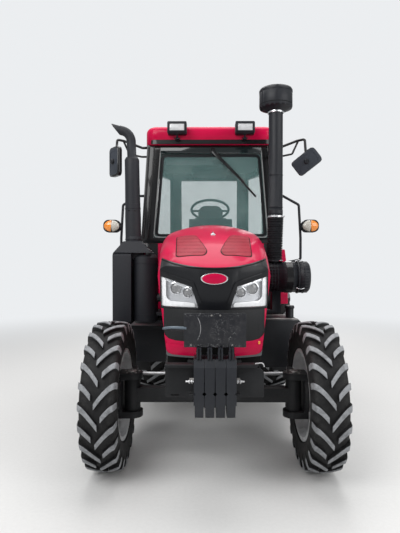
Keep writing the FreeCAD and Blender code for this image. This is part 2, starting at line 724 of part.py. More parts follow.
def steering_rod():
    """The double-ended rod of the steering cylinder, with an eye over each steering arm."""
    rod_y = "front_axle_y + steering_arm"
    shaft = cylinder("rod_shaft", "x", "steering_rod_radius",
                     ("-kingpin_x", rod_y, "rod_z"), "kingpin_x * 2")
    eyes = []
    for side in ("", "-"):
        eyes.append(cylinder("rod_eye", "z", "rod_eye_radius",
                             (side + "kingpin_x", rod_y, "rod_z - rod_eye_radius + 1"), "rod_eye_radius * 2 - 2"))
    return fuse("steering_rod_body", [shaft] + eyes)


node(front_axle(), "front_axle_beam")
pair(knuckle(), "knuckle_left")
node(steering_rod(), "steering_rod")


# Front bracket, weights and plate

def front_bracket():
    """The casting that carries the axle pivot, the radiator and the weight carrier."""
    rear = along("bracket_rear_y")
    front = along("carrier_front_y + carrier_thick")
    main = box("bracket_main", "-bracket_width / 2", "bracket_width / 2", front, rear, "bracket_bottom", "bracket_top")
    lugs = []
    for name, start in (("front", "front_axle_y - 113"), ("rear", "front_axle_y + 113 - pivot_lug")):
        lugs.append(box("pivot_lug_" + name, "-80", "80", start, start + " + pivot_lug",
                        "pivot_z - 55", "bracket_bottom + 1"))
    solid = fuse("bracket_solid", [main] + lugs)
    bore = cylinder("pivot_bore", "y", "pivot_radius + bearing_gap", ("0", "front_axle_y - 300", "pivot_z"), "600")
    return cut("bracket_body", solid, [bore])


def weight_carrier():
    """The cross plate on the front bracket, with the rail that the weights hang on."""
    front = along("carrier_front_y")
    rear = along("carrier_front_y + carrier_thick")
    plate = prism("carrier_plate", "y", front, rear, [
        ("-carrier_width / 2", "carrier_bottom"),
        ("carrier_width / 2", "carrier_bottom"),
        ("carrier_width / 2", "carrier_top - 55"),
        ("carrier_width / 2 - 22", "carrier_top - 30"),
        ("carrier_width / 2 - 40", "carrier_top"),
        ("-carrier_width / 2", "carrier_top"),
    ])
    lip = box("carrier_lip", "-carrier_width / 2", "carrier_width / 2 - 40", front + " - 46", front,
              "carrier_top - 20", "carrier_top")
    foot = box("carrier_foot", "-weights_half - 30", "weights_half + 30", front + " - 40", front,
               "carrier_bottom", "carrier_bottom + 30")
    return fuse("carrier_body", [plate, lip, foot])


def front_weight(name, middle):
    """One hook weight, seen from the side and as wide as its pitch less the gap."""
    front = along("weight_front_y")
    rear = along("weight_front_y + weight_depth")
    over = along("carrier_front_y - seat_gap")
    half = "(weight_pitch - weight_gap) / 2"
    lip_top = "carrier_top + seat_gap"
    slab = prism(name, "x", "%s - %s" % (middle, half), "%s + %s" % (middle, half), [
        (front + " + 16", "weight_bottom"),
        (rear + " - 20", "weight_bottom"),
        (rear, "weight_bottom + 30"),
        (rear, "carrier_bottom + 30 + seat_gap"),
        (over + " - 4", "carrier_bottom + 30 + seat_gap"),
        (over + " - 4", "carrier_bottom + 60"),
        (over + " - 58", "carrier_bottom + 75"),
        (over + " - 58", lip_top),
        (over + " - 2", lip_top),
        (over + " - 2", "weight_top - 8"),
        (over + " - 16", "weight_top"),
        (front + " + 22", "weight_top"),
        (front, "weight_top - 46"),
        (front, "weight_bottom + 60"),
    ])
    hook = box(name + "_hook", "%s - hook_width / 2" % middle, "%s + hook_width / 2" % middle,
               front + " + 26", front + " + 92", "weight_top - 5", "hook_top")
    return fuse(name + "_solid", [slab, hook])


def front_weights():
    count = int(value("weight_count"))
    blocks = []
    for i in range(count):
        middle = "weight_pitch * (%d - (weight_count - 1) / 2)" % i
        blocks.append(front_weight("weight_%d" % (i + 1), middle))
    return together("front_weight_set", blocks)


def blank_plate():
    """A plain plate that stands on the weights' hooks, with its brace to the left."""
    y = along("weight_front_y + 40")
    plate = box("plate_sheet", "-plate_width / 2", "plate_width / 2", y, y + " + plate_thick",
                "hook_top", "hook_top + plate_height")
    foot = box("plate_foot", "-weights_half + 10", "weights_half - 10", y, y + " + 46",
               "hook_top", "hook_top + plate_thick")
    brace = box("plate_brace", "-plate_width / 2 - 75", "-plate_width / 2 + 30", y + " + plate_thick",
                y + " + plate_thick + 6", "hook_top + 95", "hook_top + 113")
    return fuse("plate_body", [plate, foot, brace])


node(front_bracket(), "front_bracket")
node(weight_carrier(), "weight_carrier")
node(front_weights(), "front_weights")
node(blank_plate(), "blank_plate")


# Engine, transmission and rear axle

def engine_block():
    """The closed engine: a sump, a block and a rocker cover."""
    front = along("bracket_rear_y")
    rear = along("engine_rear_y")
    half = "engine_width / 2"
    return prism("engine_body", "x", "-" + half, half, [
        (front, "bracket_bottom + 20"),
        (front + " + 60", "engine_bottom"),
        (rear, "engine_bottom"),
        (rear, "engine_top - 60"),
        (rear + " - 60", "engine_top - 60"),
        (rear + " - 60", "engine_top"),
        (front + " + 30", "engine_top"),
        (front + " + 30", "engine_top - 120"),
        (front, "engine_top - 120"),
    ])


def radiator():
    """The core between two tanks, standing on the front bracket."""
    front = along("radiator_front_y")
    rear = along("radiator_front_y + radiator_thick")
    half = "radiator_width / 2"
    core = box("radiator_core", "-%s + 15" % half, half + " - 15", front + " + 15", rear + " - 15",
               "bracket_top", "radiator_top")
    tanks = []
    for bottom, top in (("bracket_top", "bracket_top + 60"), ("radiator_top - 55", "radiator_top")):
        tanks.append(box("radiator_tank", "-" + half, half, front, rear, bottom, top))
    return fuse("radiator_body", [core] + tanks)


def transmission():
    """The clutch bell and gearbox, with the shaft that drives the front axle."""
    front = along("engine_rear_y")
    rear = along("axle_housing_front_y")
    half = "gearbox_width / 2"
    case = prism("gearbox_case", "x", "-" + half, half, [
        (front, "gearbox_bottom + 60"),
        (front + " + 180", "gearbox_bottom + 60"),
        (front + " + 260", "gearbox_bottom"),
        (rear, "gearbox_bottom"),
        (rear, "gearbox_top"),
        (front + " + 200", "gearbox_top"),
        (front + " + 90", "gearbox_top + 110"),
        (front, "gearbox_top + 110"),
    ])
    start = "front_axle_y + axle_case_radius + 1"
    shaft = cylinder("front_drive_shaft", "y", "drive_shaft_radius", ("0", start, "drive_shaft_z"),
                     "(%s) - (%s)" % (along("engine_rear_y + 300"), start))
    return fuse("transmission_body", [case, shaft])


def rear_axle():
    """The rear housing with its tubes, the hitch pivots, the top link bracket and the drawbar."""
    front = along("axle_housing_front_y")
    rear = along("axle_housing_rear_y")
    half = "axle_housing_width / 2"
    case = prism("axle_housing_case", "x", "-" + half, half, [
        (front, "axle_housing_bottom + 50"),
        (front + " + 60", "axle_housing_bottom"),
        (rear + " - 60", "axle_housing_bottom"),
        (rear, "axle_housing_bottom + 90"),
        (rear, "axle_housing_top - 60"),
        (rear + " - 40", "axle_housing_top"),
        (front, "axle_housing_top"),
    ])
    tube = turned("axle_tube", [
        ("-trumpet_end_x", "0"),
        ("-trumpet_end_x", "trumpet_flange_radius"),
        ("-trumpet_end_x + 24", "trumpet_flange_radius"),
        ("-trumpet_end_x + 24", "trumpet_radius"),
        ("-axle_housing_width / 2 - 60", "trumpet_radius * 1.15"),
        ("-axle_housing_width / 2", "trumpet_radius * 1.6"),
        ("axle_housing_width / 2", "trumpet_radius * 1.6"),
        ("axle_housing_width / 2 + 60", "trumpet_radius * 1.15"),
        ("trumpet_end_x - 24", "trumpet_radius"),
        ("trumpet_end_x - 24", "trumpet_flange_radius"),
        ("trumpet_end_x", "trumpet_flange_radius"),
        ("trumpet_end_x", "0"),
    ], "0", "rear_axle_y", "rear_tyre_radius")
    pieces = [case, tube]
    pins = [cylinder("link_pin", "x", "link_pin_radius",
                     ("-link_x - link_thick - 12", along("link_pivot_y"), "link_pivot_z"),
                     "(link_x + link_thick + 12) * 2")]
    ears = []
    for x0 in ("-145", "115"):
        ears.append(box("rocker_ear", x0, x0 + " + 30", along("lift_shaft_y - 70"), along("lift_shaft_y + 70"),
                        "axle_housing_top - 5", "lift_shaft_z + 60"))
    for x0 in ("-48", "28"):
        ears.append(box("top_link_ear", x0, x0 + " + 20", rear + " - 20", along("top_link_pivot_y + 30"),
                        "top_link_pivot_z - 45", "top_link_pivot_z + 45"))
    top_pin = cylinder("top_link_pin", "x", "lift_pin_radius",
                       ("-60", along("top_link_pivot_y"), "top_link_pivot_z"), "120")
    bar = box("drawbar_bar", "-drawbar_width / 2", "drawbar_width / 2", along("axle_housing_front_y + 100"),
              along("drawbar_end_y + drawbar_width / 2"), "drawbar_z", "drawbar_z + drawbar_thick")
    hangers = []
    for y0 in ("axle_housing_front_y + 100", "axle_housing_rear_y - 110"):
        hangers.append(box("drawbar_hanger", "-70", "70", along(y0), along(y0 + " + 60"),
                           "drawbar_z + drawbar_thick - 1", "axle_housing_bottom + 60"))
    solid = fuse("rear_axle_solid", pieces + pins + ears + [top_pin, bar] + hangers)
    holes = [
        cylinder("drawbar_hole", "z", "drawbar_bore", ("0", along("drawbar_end_y"), "drawbar_z - 1"),
                 "drawbar_thick + 2"),
        cylinder("rocker_bore", "x", "lift_shaft_radius + bearing_gap",
                 ("-160", along("lift_shaft_y"), "lift_shaft_z"), "320"),
        cylinder("pto_bore", "y", "pto_radius + 8 + bearing_gap", ("0", rear + " - 60", "pto_z"), "80"),
    ]
    shaft_end = "rear_wheel_x + rear_disc_x - rear_spindle_length - 2"
    for start in ("-trumpet_end_x - 1", shaft_end):
        holes.append(cylinder("axle_bore", "x", "rear_spindle_radius + bearing_gap",
                              (start, "rear_axle_y", "rear_tyre_radius"), "trumpet_end_x + 1 - (%s)" % shaft_end))
    return cut("rear_axle_body", solid, holes)


node(engine_block(), "engine_block")
node(radiator(), "radiator")
node(transmission(), "transmission_housing")
node(rear_axle(), "rear_axle_housing")


# Hood

HOOD_SECTIONS = [
    # place along Y, half width at the bottom, half width at the shoulder, crown height, shoulder radius
    (-560, 284, 348, 1425, 95),
    (-300, 312, 366, 1585, 105),
    (60, 334, 384, 1715, 115),
    (500, 342, 398, 1785, 120),
    (890, 346, 404, 1775, 120),
]
CROWN_RADIUS = 900


def hood_section(y, foot, half, crown, shoulder, inset):
    """A closed arch: straight sides, two shoulder arcs and a crown arc, tangent to each other."""
    foot -= inset
    half -= inset
    crown -= inset
    shoulder -= inset
    bow = CROWN_RADIUS - inset
    bottom = value("hood_bottom") - 5 - inset
    centre = crown - bow
    knee = centre + math.sqrt((bow - shoulder) ** 2 - (half - shoulder) ** 2)
    lean = math.atan2(half - shoulder, knee - centre)
    touch = Vec(bow * math.sin(lean), y, centre + bow * math.cos(lean))
    side = Vec(half, y, knee)
    mid_angle = (math.pi / 2 + lean) / 2
    middle = Vec(half - shoulder + shoulder * math.sin(mid_angle), y, knee + shoulder * math.cos(mid_angle))
    flip = lambda p: Vec(-p.x, p.y, p.z)
    low = Vec(foot, y, bottom)
    return Part.Wire([
        Part.LineSegment(flip(low), low).toShape(),
        Part.LineSegment(low, side).toShape(),
        Part.Arc(side, middle, touch).toShape(),
        Part.Arc(touch, Vec(0, y, crown), flip(touch)).toShape(),
        Part.Arc(flip(touch), flip(middle), flip(side)).toShape(),
        Part.LineSegment(flip(side), flip(low)).toShape(),
    ])


def nose_plan(inset):
    """What lies behind the bowed nose, as a tall block with a curved front."""
    front = value("front_axle_y + hood_front_y") + inset
    rear = value("front_axle_y + hood_rear_y")
    half = value("mask_width / 2")
    bow = value("nose_bow")
    wide = half * 1.5
    low = value("hood_bottom") / 2
    tall = value("cab_top_z")
    radius = (half ** 2 + bow ** 2) / (2 * bow)
    drop = radius - math.sqrt(radius ** 2 - min(wide, radius * 0.98) ** 2)
    left = Vec(-wide, front + drop, low)
    right = Vec(wide, front + drop, low)
    back = Vec(wide, rear + half, low)
    edges = [
        Part.Arc(left, Vec(0, front, low), right).toShape(),
        Part.LineSegment(right, back).toShape(),
        Part.LineSegment(back, Vec(-wide, back.y, low)).toShape(),
        Part.LineSegment(Vec(-wide, back.y, low), left).toShape(),
    ]
    return Part.Face(Part.Wire(edges)).extrude(Vec(0, 0, tall))


def hood_volume(inset):
    """The space under the hood's skin, drawn in by an inset."""
    axle = value("front_axle_y")
    wires = [hood_section(axle + y, foot, half, crown, shoulder, inset)
             for y, foot, half, crown, shoulder in HOOD_SECTIONS]
    body = Part.makeLoft(wires, True, False)
    return body.common(nose_plan(inset))


def slab(corners, y0, y1):
    """A block along Y over an outline in X and Z."""
    points = [Vec(x, y0, z) for x, z in corners]
    return Part.Face(Part.makePolygon(points + points[:1])).extrude(Vec(0, y1 - y0, 0))


def hood_parts():
    """The hood skin split into the red shell, the dark mask, the lamps and the nose grille."""
    axle = value("front_axle_y")
    skin = hood_volume(0).cut(hood_volume(value("hood_wall")))
    rear = value(along("hood_rear_y"))
    low = value("hood_bottom")
    high = value("hood_side_bottom")
    wide = value("cab_waist_half")
    far = axle - wide * 1.5
    side = [(far, low), (axle - 240, low), (axle + 60, high), (rear + wide, high), (rear + wide, low / 2),
            (far, low / 2)]
    points = [Vec(-wide, y, z) for y, z in side]
    under = Part.Face(Part.makePolygon(points + points[:1])).extrude(Vec(2 * wide, 0, 0))
    behind = Part.makeBox(2 * wide, wide, value("cab_top_z"), Vec(-wide, rear, low / 2))
    skin = skin.cut(under).cut(behind)
    front = axle - wide
    deep = axle - 180
    half = value("mask_width / 2")
    top = value("mask_top")
    base = value("mask_bottom")
    rise = 62
    lip = Part.Face(Part.Wire([
        Part.Arc(Vec(-half, front, top + rise), Vec(0, front, top), Vec(half, front, top + rise)).toShape(),
        Part.LineSegment(Vec(half, front, top + rise), Vec(half, front, base)).toShape(),
        Part.LineSegment(Vec(half, front, base), Vec(-half, front, base)).toShape(),
        Part.LineSegment(Vec(-half, front, base), Vec(-half, front, top + rise)).toShape(),
    ])).extrude(Vec(0, deep - front, 0))
    outer = value("lamp_outer_x")
    inner = value("lamp_inner_x")
    lamp_top = value("lamp_top")
    lamp_low = value("lamp_bottom")
    lamps = []
    for side in (-1, 1):
        lamps.append(slab([(side * outer, lamp_top), (side * (outer - 4), lamp_low), (side * inner, lamp_low),
                           (side * (inner + 42), lamp_top - 62)], front, deep))
    grille_half = value("grille_width / 2")
    grille_low = value("grille_bottom")
    vent = slab([(-grille_half, base), (grille_half, base), (grille_half, grille_low), (-grille_half, grille_low)],
                front, deep)
    both_lamps = lamps[0].fuse(lamps[1])
    shell = skin.cut(lip).cut(vent)
    mask = skin.common(lip).cut(both_lamps)
    return shell, mask, skin.common(both_lamps), skin.common(vent)


def hood_shell(skin):
    """The red shell with its two hinge arms at the rear."""
    hinge_y = value(along("hood_hinge_y"))
    hinge_z = value("hood_hinge_z")
    rear = value(along("hood_rear_y"))
    half = value("mask_width") / 2
    arms = []
    for x in (-200, 180):
        arms.append(Part.makeBox(20, hinge_y - rear + 60, 30, Vec(x, rear - 60, hinge_z - 15)))
        arms.append(Part.makeBox(20, 40, value("hood_arm_height"), Vec(x, rear - 60, hinge_z - 15)))
    bore = Part.makeCylinder(value("hood_hinge_radius + bearing_gap"), 2 * half, Vec(-half, hinge_y, hinge_z), Vec(1, 0, 0))
    eyes = [Part.makeCylinder(24, 20, Vec(x, hinge_y, hinge_z), Vec(1, 0, 0)) for x in (-200, 180)]
    return skin.fuse(arms + eyes).cut(bore)


red, dark, lenses, vent = hood_parts()
node(shaped("hood_red", hood_shell(red)), "hood_shell")
node(shaped("hood_dark", dark), "hood_mask")
node(shaped("hood_lenses", lenses), "headlamps")
node(shaped("hood_vent", vent), "nose_grille")


# Cab

def cab_side(inset):
    """The cab's half outline seen from the front, as x and z formulas from the floor up."""
    return [
        ("cab_floor_half - (%s)" % inset, "cab_floor_z"),
        ("cab_waist_half - (%s)" % inset, "cab_waist_z"),
        ("cab_top_half - (%s)" % inset, "cab_top_z"),
    ]


def cab_ring(inset):
    """The whole outline seen from the front."""
    right = cab_side(inset)
    left = [("-(%s)" % x, z) for x, z in reversed(right)]
    return right + left


def cab_shell():
    """The hollow cab: its front outline along Y, its chamfered plan along Z, less the inside."""
    solids = []
    for name, inset in (("outer", "0"), ("inner", "cab_wall")):
        tall = prism("cab_%s_front" % name, "y", along("cab_front_y + " + inset), along("cab_rear_y - " + inset),
                     cab_ring(inset))
        plan = prism("cab_%s_plan" % name, "z", "cab_floor_z - 10", "cab_top_z + 10", [
            ("-(cab_waist_half + 50 - %s)" % inset, along("cab_front_y - 10")),
            ("cab_waist_half + 50 - " + inset, along("cab_front_y - 10")),
            ("cab_waist_half + 50 - " + inset, along("door_rear_y + 10")),
            ("cab_waist_half - " + inset, along("door_rear_y + 60")),
            ("cab_rear_half - %s * 0.6" % inset, along("cab_rear_y + 1")),
            ("-(cab_rear_half - %s * 0.6)" % inset, along("cab_rear_y + 1")),
            ("-(cab_waist_half - %s)" % inset, along("door_rear_y + 60")),
            ("-(cab_waist_half + 50 - %s)" % inset, along("door_rear_y + 10")),
        ])
        solids.append(common("cab_%s" % name, tall, plan))
    return cut("cab_walls", solids[0], [solids[1]])


def region(name, y0, y1, z0, z1, half="900"):
    """A block across the whole cab, its places along Y from the front axle."""
    return box(name, "-" + half, half, along(y0), along(y1), z0, z1)


def screen_cutter(name, grow):
    """The windscreen's outline through the front wall, drawn in by an amount."""
    return prism(name, "y", along("cab_front_y - 100"), along("cab_front_y + cab_wall + 100"), [
        ("-(screen_bottom_half + (%s))" % grow, "screen_bottom - (%s)" % grow),
        ("screen_bottom_half + (%s)" % grow, "screen_bottom - (%s)" % grow),
        ("screen_top_half + (%s)" % grow, "screen_top + (%s)" % grow),
        ("-(screen_top_half + (%s))" % grow, "screen_top + (%s)" % grow),
    ])


DOOR_LINE = [
    # place along Y, height: the door from the side, clear of the fender behind it
    ("cab_front_y + cab_wall + door_gap", "cab_floor_z + floor_thick + door_gap"),
    ("fender_front_y - 80", "cab_floor_z + floor_thick + door_gap"),
    ("fender_front_y - 10", "fender_top - 110"),
    ("fender_front_y + 95", "fender_top + 50"),
    ("door_rear_y - door_gap", "fender_top + 50"),
    ("door_rear_y - door_gap", "cab_top_z - 70"),
    ("cab_front_y + cab_wall + door_gap", "cab_top_z - 70"),
]
DOOR_WINDOW = [
    ("cab_front_y + cab_wall + door_gap + door_border", "cab_floor_z + floor_thick + door_gap + 150"),
    ("fender_front_y - 80 - door_border * 0.7", "cab_floor_z + floor_thick + door_gap + 150"),
    ("fender_front_y - 10 - door_border * 0.7", "fender_top - 80"),
    ("fender_front_y + 95 - door_border * 0.3", "fender_top + 50 + door_border"),
    ("door_rear_y - door_gap - door_border", "fender_top + 50 + door_border"),
    ("door_rear_y - door_gap - door_border", "cab_top_z - 70 - door_border"),
    ("cab_front_y + cab_wall + door_gap + door_border", "cab_top_z - 70 - door_border"),
]


def side_cutter(name, line):
    """A block along X over an outline in Y and Z, on the left side of the cab."""
    return prism(name, "x", "100", "900", [(along(y), z) for y, z in line])


def glass_sheet(name, inset):
    """The cab's walls thinned to the glass, in the middle of their thickness."""
    skins = []
    for kind, depth in (("outer", inset), ("inner", inset + " + glass_thick")):
        tall = prism("%s_%s_front" % (name, kind), "y", along("cab_front_y + " + depth),
                     along("cab_rear_y - (%s)" % depth), cab_ring(depth))
        plan = prism("%s_%s_plan" % (name, kind), "z", "cab_floor_z - 10", "cab_top_z + 10", [
            ("-(cab_waist_half + 50 - (%s))" % depth, along("cab_front_y - 10")),
            ("cab_waist_half + 50 - (%s)" % depth, along("cab_front_y - 10")),
            ("cab_waist_half + 50 - (%s)" % depth, along("door_rear_y + 10")),
            ("cab_waist_half - (%s)" % depth, along("door_rear_y + 60")),
            ("cab_rear_half - (%s) * 0.6" % depth, along("cab_rear_y + 1")),
            ("-(cab_rear_half - (%s) * 0.6)" % depth, along("cab_rear_y + 1")),
            ("-(cab_waist_half - (%s))" % depth, along("door_rear_y + 60")),
            ("-(cab_waist_half + 50 - (%s))" % depth, along("door_rear_y + 10")),
        ])
        skins.append(common("%s_%s" % (name, kind), tall, plan))
    return cut(name, skins[0], [skins[1]])


def rear_window_cutter(name):
    """The rear window between the rear posts."""
    half = "cab_rear_half - 115"
    return box(name, "-(%s)" % half, half, along("cab_rear_y - 200"), along("cab_rear_y + 100"),
               "fender_top + 20", "cab_top_z - 110")


def quarter_cutter(name):
    """The window in the chamfered rear corner, on the left side."""
    return prism(name, "z", "fender_top + 90", "cab_top_z - 110", [
        ("cab_rear_half + 18", along("cab_rear_y + 100")),
        ("cab_rear_half + 18", along("cab_rear_y - 250")),
        ("cab_rear_half - 150", along("cab_rear_y - 250")),
        ("cab_rear_half - 150", along("door_rear_y + 120")),
        ("cab_waist_half + 200", along("door_rear_y + 120")),
        ("cab_waist_half + 200", along("cab_rear_y + 100")),
    ])


DOOR_HINGES = ("cab_waist_z + 120", "cab_top_z - 240")


def hinge_sockets():
    """The fixed halves of the left door's hinges: a pin between two lugs on the rear post."""
    place = ("door_hinge_x", along("door_hinge_y"))
    pieces = []
    for z0 in DOOR_HINGES:
        pieces.append(cylinder("door_pin", "z", "hinge_pin_radius", place + (z0 + " - hinge_lug",),
                               "hinge_height + 2 * hinge_lug"))
        for low in (z0 + " - hinge_lug", z0 + " + hinge_height + 1"):
            pieces.append(cylinder("door_lug", "z", "hinge_radius", place + (low,), "hinge_lug - 1"))
            pieces.append(box("door_lug_arm", "hinge_root_x", "door_hinge_x", along("door_rear_y"),
                              along("door_rear_y + 28"), low, low + " + hinge_lug - 1"))
    return pieces


def cab():
    """Front frame, cowl, rear frame, floor and doors, split where their panels meet."""
    walls = cab_shell()
    front = region("cab_front_region", "cab_front_y - 50", "cab_front_y + cab_wall", "cowl_top", "cab_top_z + 20")
    front_wall = common("cab_front_wall", walls, front)
    frame = cut("cab_front_walls", front_wall, [screen_cutter("screen_hole", "0")])
    hinge = [cylinder("hood_hinge_pin", "x", "hood_hinge_radius", ("-205", along("hood_hinge_y"), "hood_hinge_z"), "410")]
    for x0 in ("-150", "130"):
        hinge.append(box("hood_hinge_ear", x0, x0 + " + 20", along("hood_hinge_y - 20"), along("cab_front_y + 2"),
                         "hood_hinge_z - 18", "hood_hinge_z + 18"))
    node(fuse("cab_front_body", [frame] + hinge), "cab_front_frame")

    cowl_region = region("cowl_region", "cab_front_y - 50", "cab_front_y + cab_wall", "floor_top", "cowl_top")
    node(common("cowl_body", walls, cowl_region), "cab_cowl")

    rear_region = region("rear_region", "door_rear_y", "cab_rear_y + 50", "fender_top", "cab_top_z + 20")
    low_region = region("rear_low_region", "cab_rear_y - cab_wall", "cab_rear_y + 50", "deck_bottom",
                        "fender_top + 1", "fender_inner_x")
    rails = box("rail_region", "-900", "900", along("cab_front_y + cab_wall"), along("door_rear_y"),
                "cab_top_z - 64", "cab_top_z + 20")
    upper = common("rear_walls", walls, fuse("rear_regions", [rear_region, low_region, rails]))
    quarter = quarter_cutter("quarter_hole")
    holes = [rear_window_cutter("rear_hole"), quarter, mirrored("quarter_hole_other", quarter)]
    posts = cut("rear_frame_walls", upper, holes)
    sockets = hinge_sockets()
    roofing = fuse("cab_rear_body", [posts] + sockets + [mirrored("socket_other", thing) for thing in sockets] + [box("cab_header", "-(cab_top_half - cab_wall)", "cab_top_half - cab_wall",
                                                along("cab_front_y + cab_wall"), along("cab_rear_y - cab_wall"),
                                                "cab_top_z - 20", "cab_top_z")])
    node(roofing, "cab_rear_frame")

    middle = glass_sheet("glass_walls", "cab_wall / 2 - glass_thick / 2")
    screen = common("windscreen_pane", middle, screen_cutter("screen_pane_region", "0"))
    rear_pane = common("rear_pane", middle, rear_window_cutter("rear_pane_region"))
    side_pane = common("quarter_pane", middle, quarter_cutter("quarter_pane_region"))
    panes = together("cab_panes", [screen, rear_pane, side_pane, mirrored("quarter_pane_other", side_pane)])
    node(panes, "cab_glass")

    leaf = common("door_leaf", walls, side_cutter("door_region", DOOR_LINE))
    hinge = []
    for z0 in DOOR_HINGES:
        hinge.append(box("door_hinge", "hinge_root_x", "door_hinge_x", along("door_rear_y - door_gap - 40"),
                         along("door_rear_y - door_gap"), z0, z0 + " + hinge_height"))
        hinge.append(cylinder("door_knuckle", "z", "hinge_radius", ("door_hinge_x", along("door_hinge_y"), z0),
                              "hinge_height"))
    frame = cut("door_frame", leaf, [side_cutter("door_hole", DOOR_WINDOW)])
    pins = [cylinder("door_bore", "z", "hinge_pin_radius + bearing_gap",
                     ("door_hinge_x", along("door_hinge_y"), z0 + " - 5"), "hinge_height + 10") for z0 in DOOR_HINGES]
    pair(cut("door_body", fuse("door_with_hinges", [frame] + hinge), pins), "door_left")
    pair(common("door_pane", middle, side_cutter("door_pane_region", DOOR_WINDOW)), "door_glass_left")


def cab_floor():
    """The floor between the fenders and the doors, with the raised deck under the seat."""
    half = "fender_inner_x"
    deck = box("floor_front", "-(cab_floor_half - 2)", "cab_floor_half - 2", along("cab_front_y"),
               along("fender_front_y - 10"), "cab_floor_z", "floor_top")
    middle = box("floor_middle", "-" + half, half, along("fender_front_y - 20"), along("deck_front_y"),
                 "cab_floor_z", "floor_top")
    riser = box("floor_riser", "-" + half, half, along("deck_front_y - floor_thick"), along("deck_front_y"),
                "floor_top - 1", "deck_top")
    raised = box("floor_raised", "-" + half, half, along("deck_front_y - 1"), along("cab_rear_y - cab_wall"),
                 "deck_bottom", "deck_top")
    mounts = [box("cab_mount", x0, x0 + " + 90", along(y0), along(y0 + " + 90"), z0, "cab_floor_z + 5")
              for x0, y0, z0 in (("60", "1500", "gearbox_top"), ("-150", "1500", "gearbox_top"))]
    return fuse("cab_floor_body", [deck, middle, riser, raised] + mounts)


def cab_roof():
    """A rounded cap that overhangs the windscreen."""
    body = prism("roof_body", "z", "cab_top_z", "cab_top_z + roof_height", [
        ("-roof_half", along("roof_front_y")),
        ("roof_half", along("roof_front_y")),
        ("roof_half", along("roof_rear_y - 160")),
        ("roof_half - 130", along("roof_rear_y")),
        ("-roof_half + 130", along("roof_rear_y")),
        ("-roof_half", along("roof_rear_y - 160")),
    ])
    upright = lambda edge: abs(edge.tangentAt(edge.FirstParameter).z) > 0.99
    rounded(body, "roof_corners", "roof_corner", upright)
    top = value("cab_top_z + roof_height")
    upper = lambda edge: abs(edge.BoundBox.ZMin - top) < 0.01
    return rounded(body, "roof_edges", "roof_edge", upper)


def fender():
    """The sheet over the left rear tyre, with its inner wall against the cab floor."""
    def side(name, grow, x0, low):
        return prism(name, "x", x0, "fender_outer_x", [
            (along("fender_front_y + (%s)" % grow), low),
            (along("fender_front_y + 60 + (%s)" % grow), "fender_top - 190"),
            (along("fender_front_y + 190 + (%s)" % grow), "fender_top - (%s)" % grow),
            (along("fender_rear_y - 330 - (%s)" % grow), "fender_top - (%s)" % grow),
            (along("fender_rear_y - 100 - (%s)" % grow), "fender_top - 190"),
            (along("fender_rear_y - (%s)" % grow), "fender_top - 480"),
            (along("fender_rear_y - (%s)" % grow), low),
        ])
    outer = side("fender_outer", "0", "fender_inner_x", "cab_floor_z + 60")
    inner = side("fender_inner", "fender_wall", "fender_inner_x + fender_wall", "cab_floor_z")
    return cut("fender_body", outer, [inner])


cab()
node(cab_floor(), "cab_floor")
node(cab_roof(), "cab_roof")
pair(fender(), "fender_left")


# Seat, dashboard and steering wheel

def seat():
    """A cushion and a backrest on a plinth."""
    half = "seat_width / 2"
    plinth = box("seat_plinth", "-%s + 80" % half, half + " - 80", along("seat_y - 180"), along("seat_y + 160"),
                 "deck_top", "deck_top + 100")
    cushion = box("seat_cushion", "-" + half, half, along("seat_y - 250"), along("seat_y + 200"),
                  "deck_top + 100", "deck_top + 220")
    back = prism("seat_back", "x", "-%s + 15" % half, half + " - 15", [
        (along("seat_y + 130"), "deck_top + 200"),
        (along("seat_y + 210"), "deck_top + 200"),
        (along("seat_y + 290"), "deck_top + 730"),
        (along("seat_y + 215"), "deck_top + 730"),
    ])
    return fuse("seat_body", [plinth, cushion, back])


def dashboard():
    """The console behind the front wall, with the instrument binnacle and the steering column."""
    front = along("cab_front_y + cab_wall")
    console = prism("dash_console", "x", "-210", "210", [
        (front, "floor_top"),
        (along("cab_front_y + 330"), "floor_top"),
        (along("cab_front_y + 330"), "floor_top + 380"),
        (along("cab_front_y + 420"), "floor_top + 640"),
        (along("cab_front_y + 390"), "floor_top + 800"),
        (along("cab_front_y + 190"), "floor_top + 870"),
        (front, "floor_top + 700"),
    ])
    return console


def wheel_axis():
    """The direction of the steering column, up and to the rear."""
    tilt = math.radians(value("wheel_tilt"))
    return Vec(0, math.sin(tilt), math.cos(tilt))


def steering_wheel():
    """A rim with three spokes and a hub on its column."""
    middle = Vec(0, value(along("wheel_y")), value("wheel_z"))
    axis = wheel_axis()
    rim = Part.makeTorus(value("wheel_radius"), value("wheel_rim_radius"), middle, axis)
    hub = Part.makeCylinder(48, 44, middle - axis * 40, axis)
    column = Part.makeCylinder(value("column_radius"), value("column_length") - 30,
                               middle - axis * value("column_length"), axis)
    across = Vec(1, 0, 0)
    down = axis.cross(across)
    spokes = []
    for angle in (180, 0, 90):
        turn = math.radians(angle)
        reach = across * math.cos(turn) + down * math.sin(turn)
        spokes.append(Part.makeCylinder(11, value("wheel_radius"), middle - axis * 12, reach))
    return rim.fuse(spokes + [hub, column])


def dashboard_with_bore():
    """The console less the bore that the steering column turns in."""
    middle = Vec(0, value(along("wheel_y")), value("wheel_z"))
    axis = wheel_axis()
    doc.recompute()
    length = value("column_length") + 2
    bore = Part.makeCylinder(value("column_radius + bearing_gap"), length, middle - axis * length, axis)
    return cut("dash_body", dashboard(), [shaped("column_bore", bore)])


node(seat(), "seat")
node(dashboard_with_bore(), "dashboard")
node(shaped("steering_wheel_body", steering_wheel()), "steering_wheel")


# Air cleaner, snorkel and exhaust

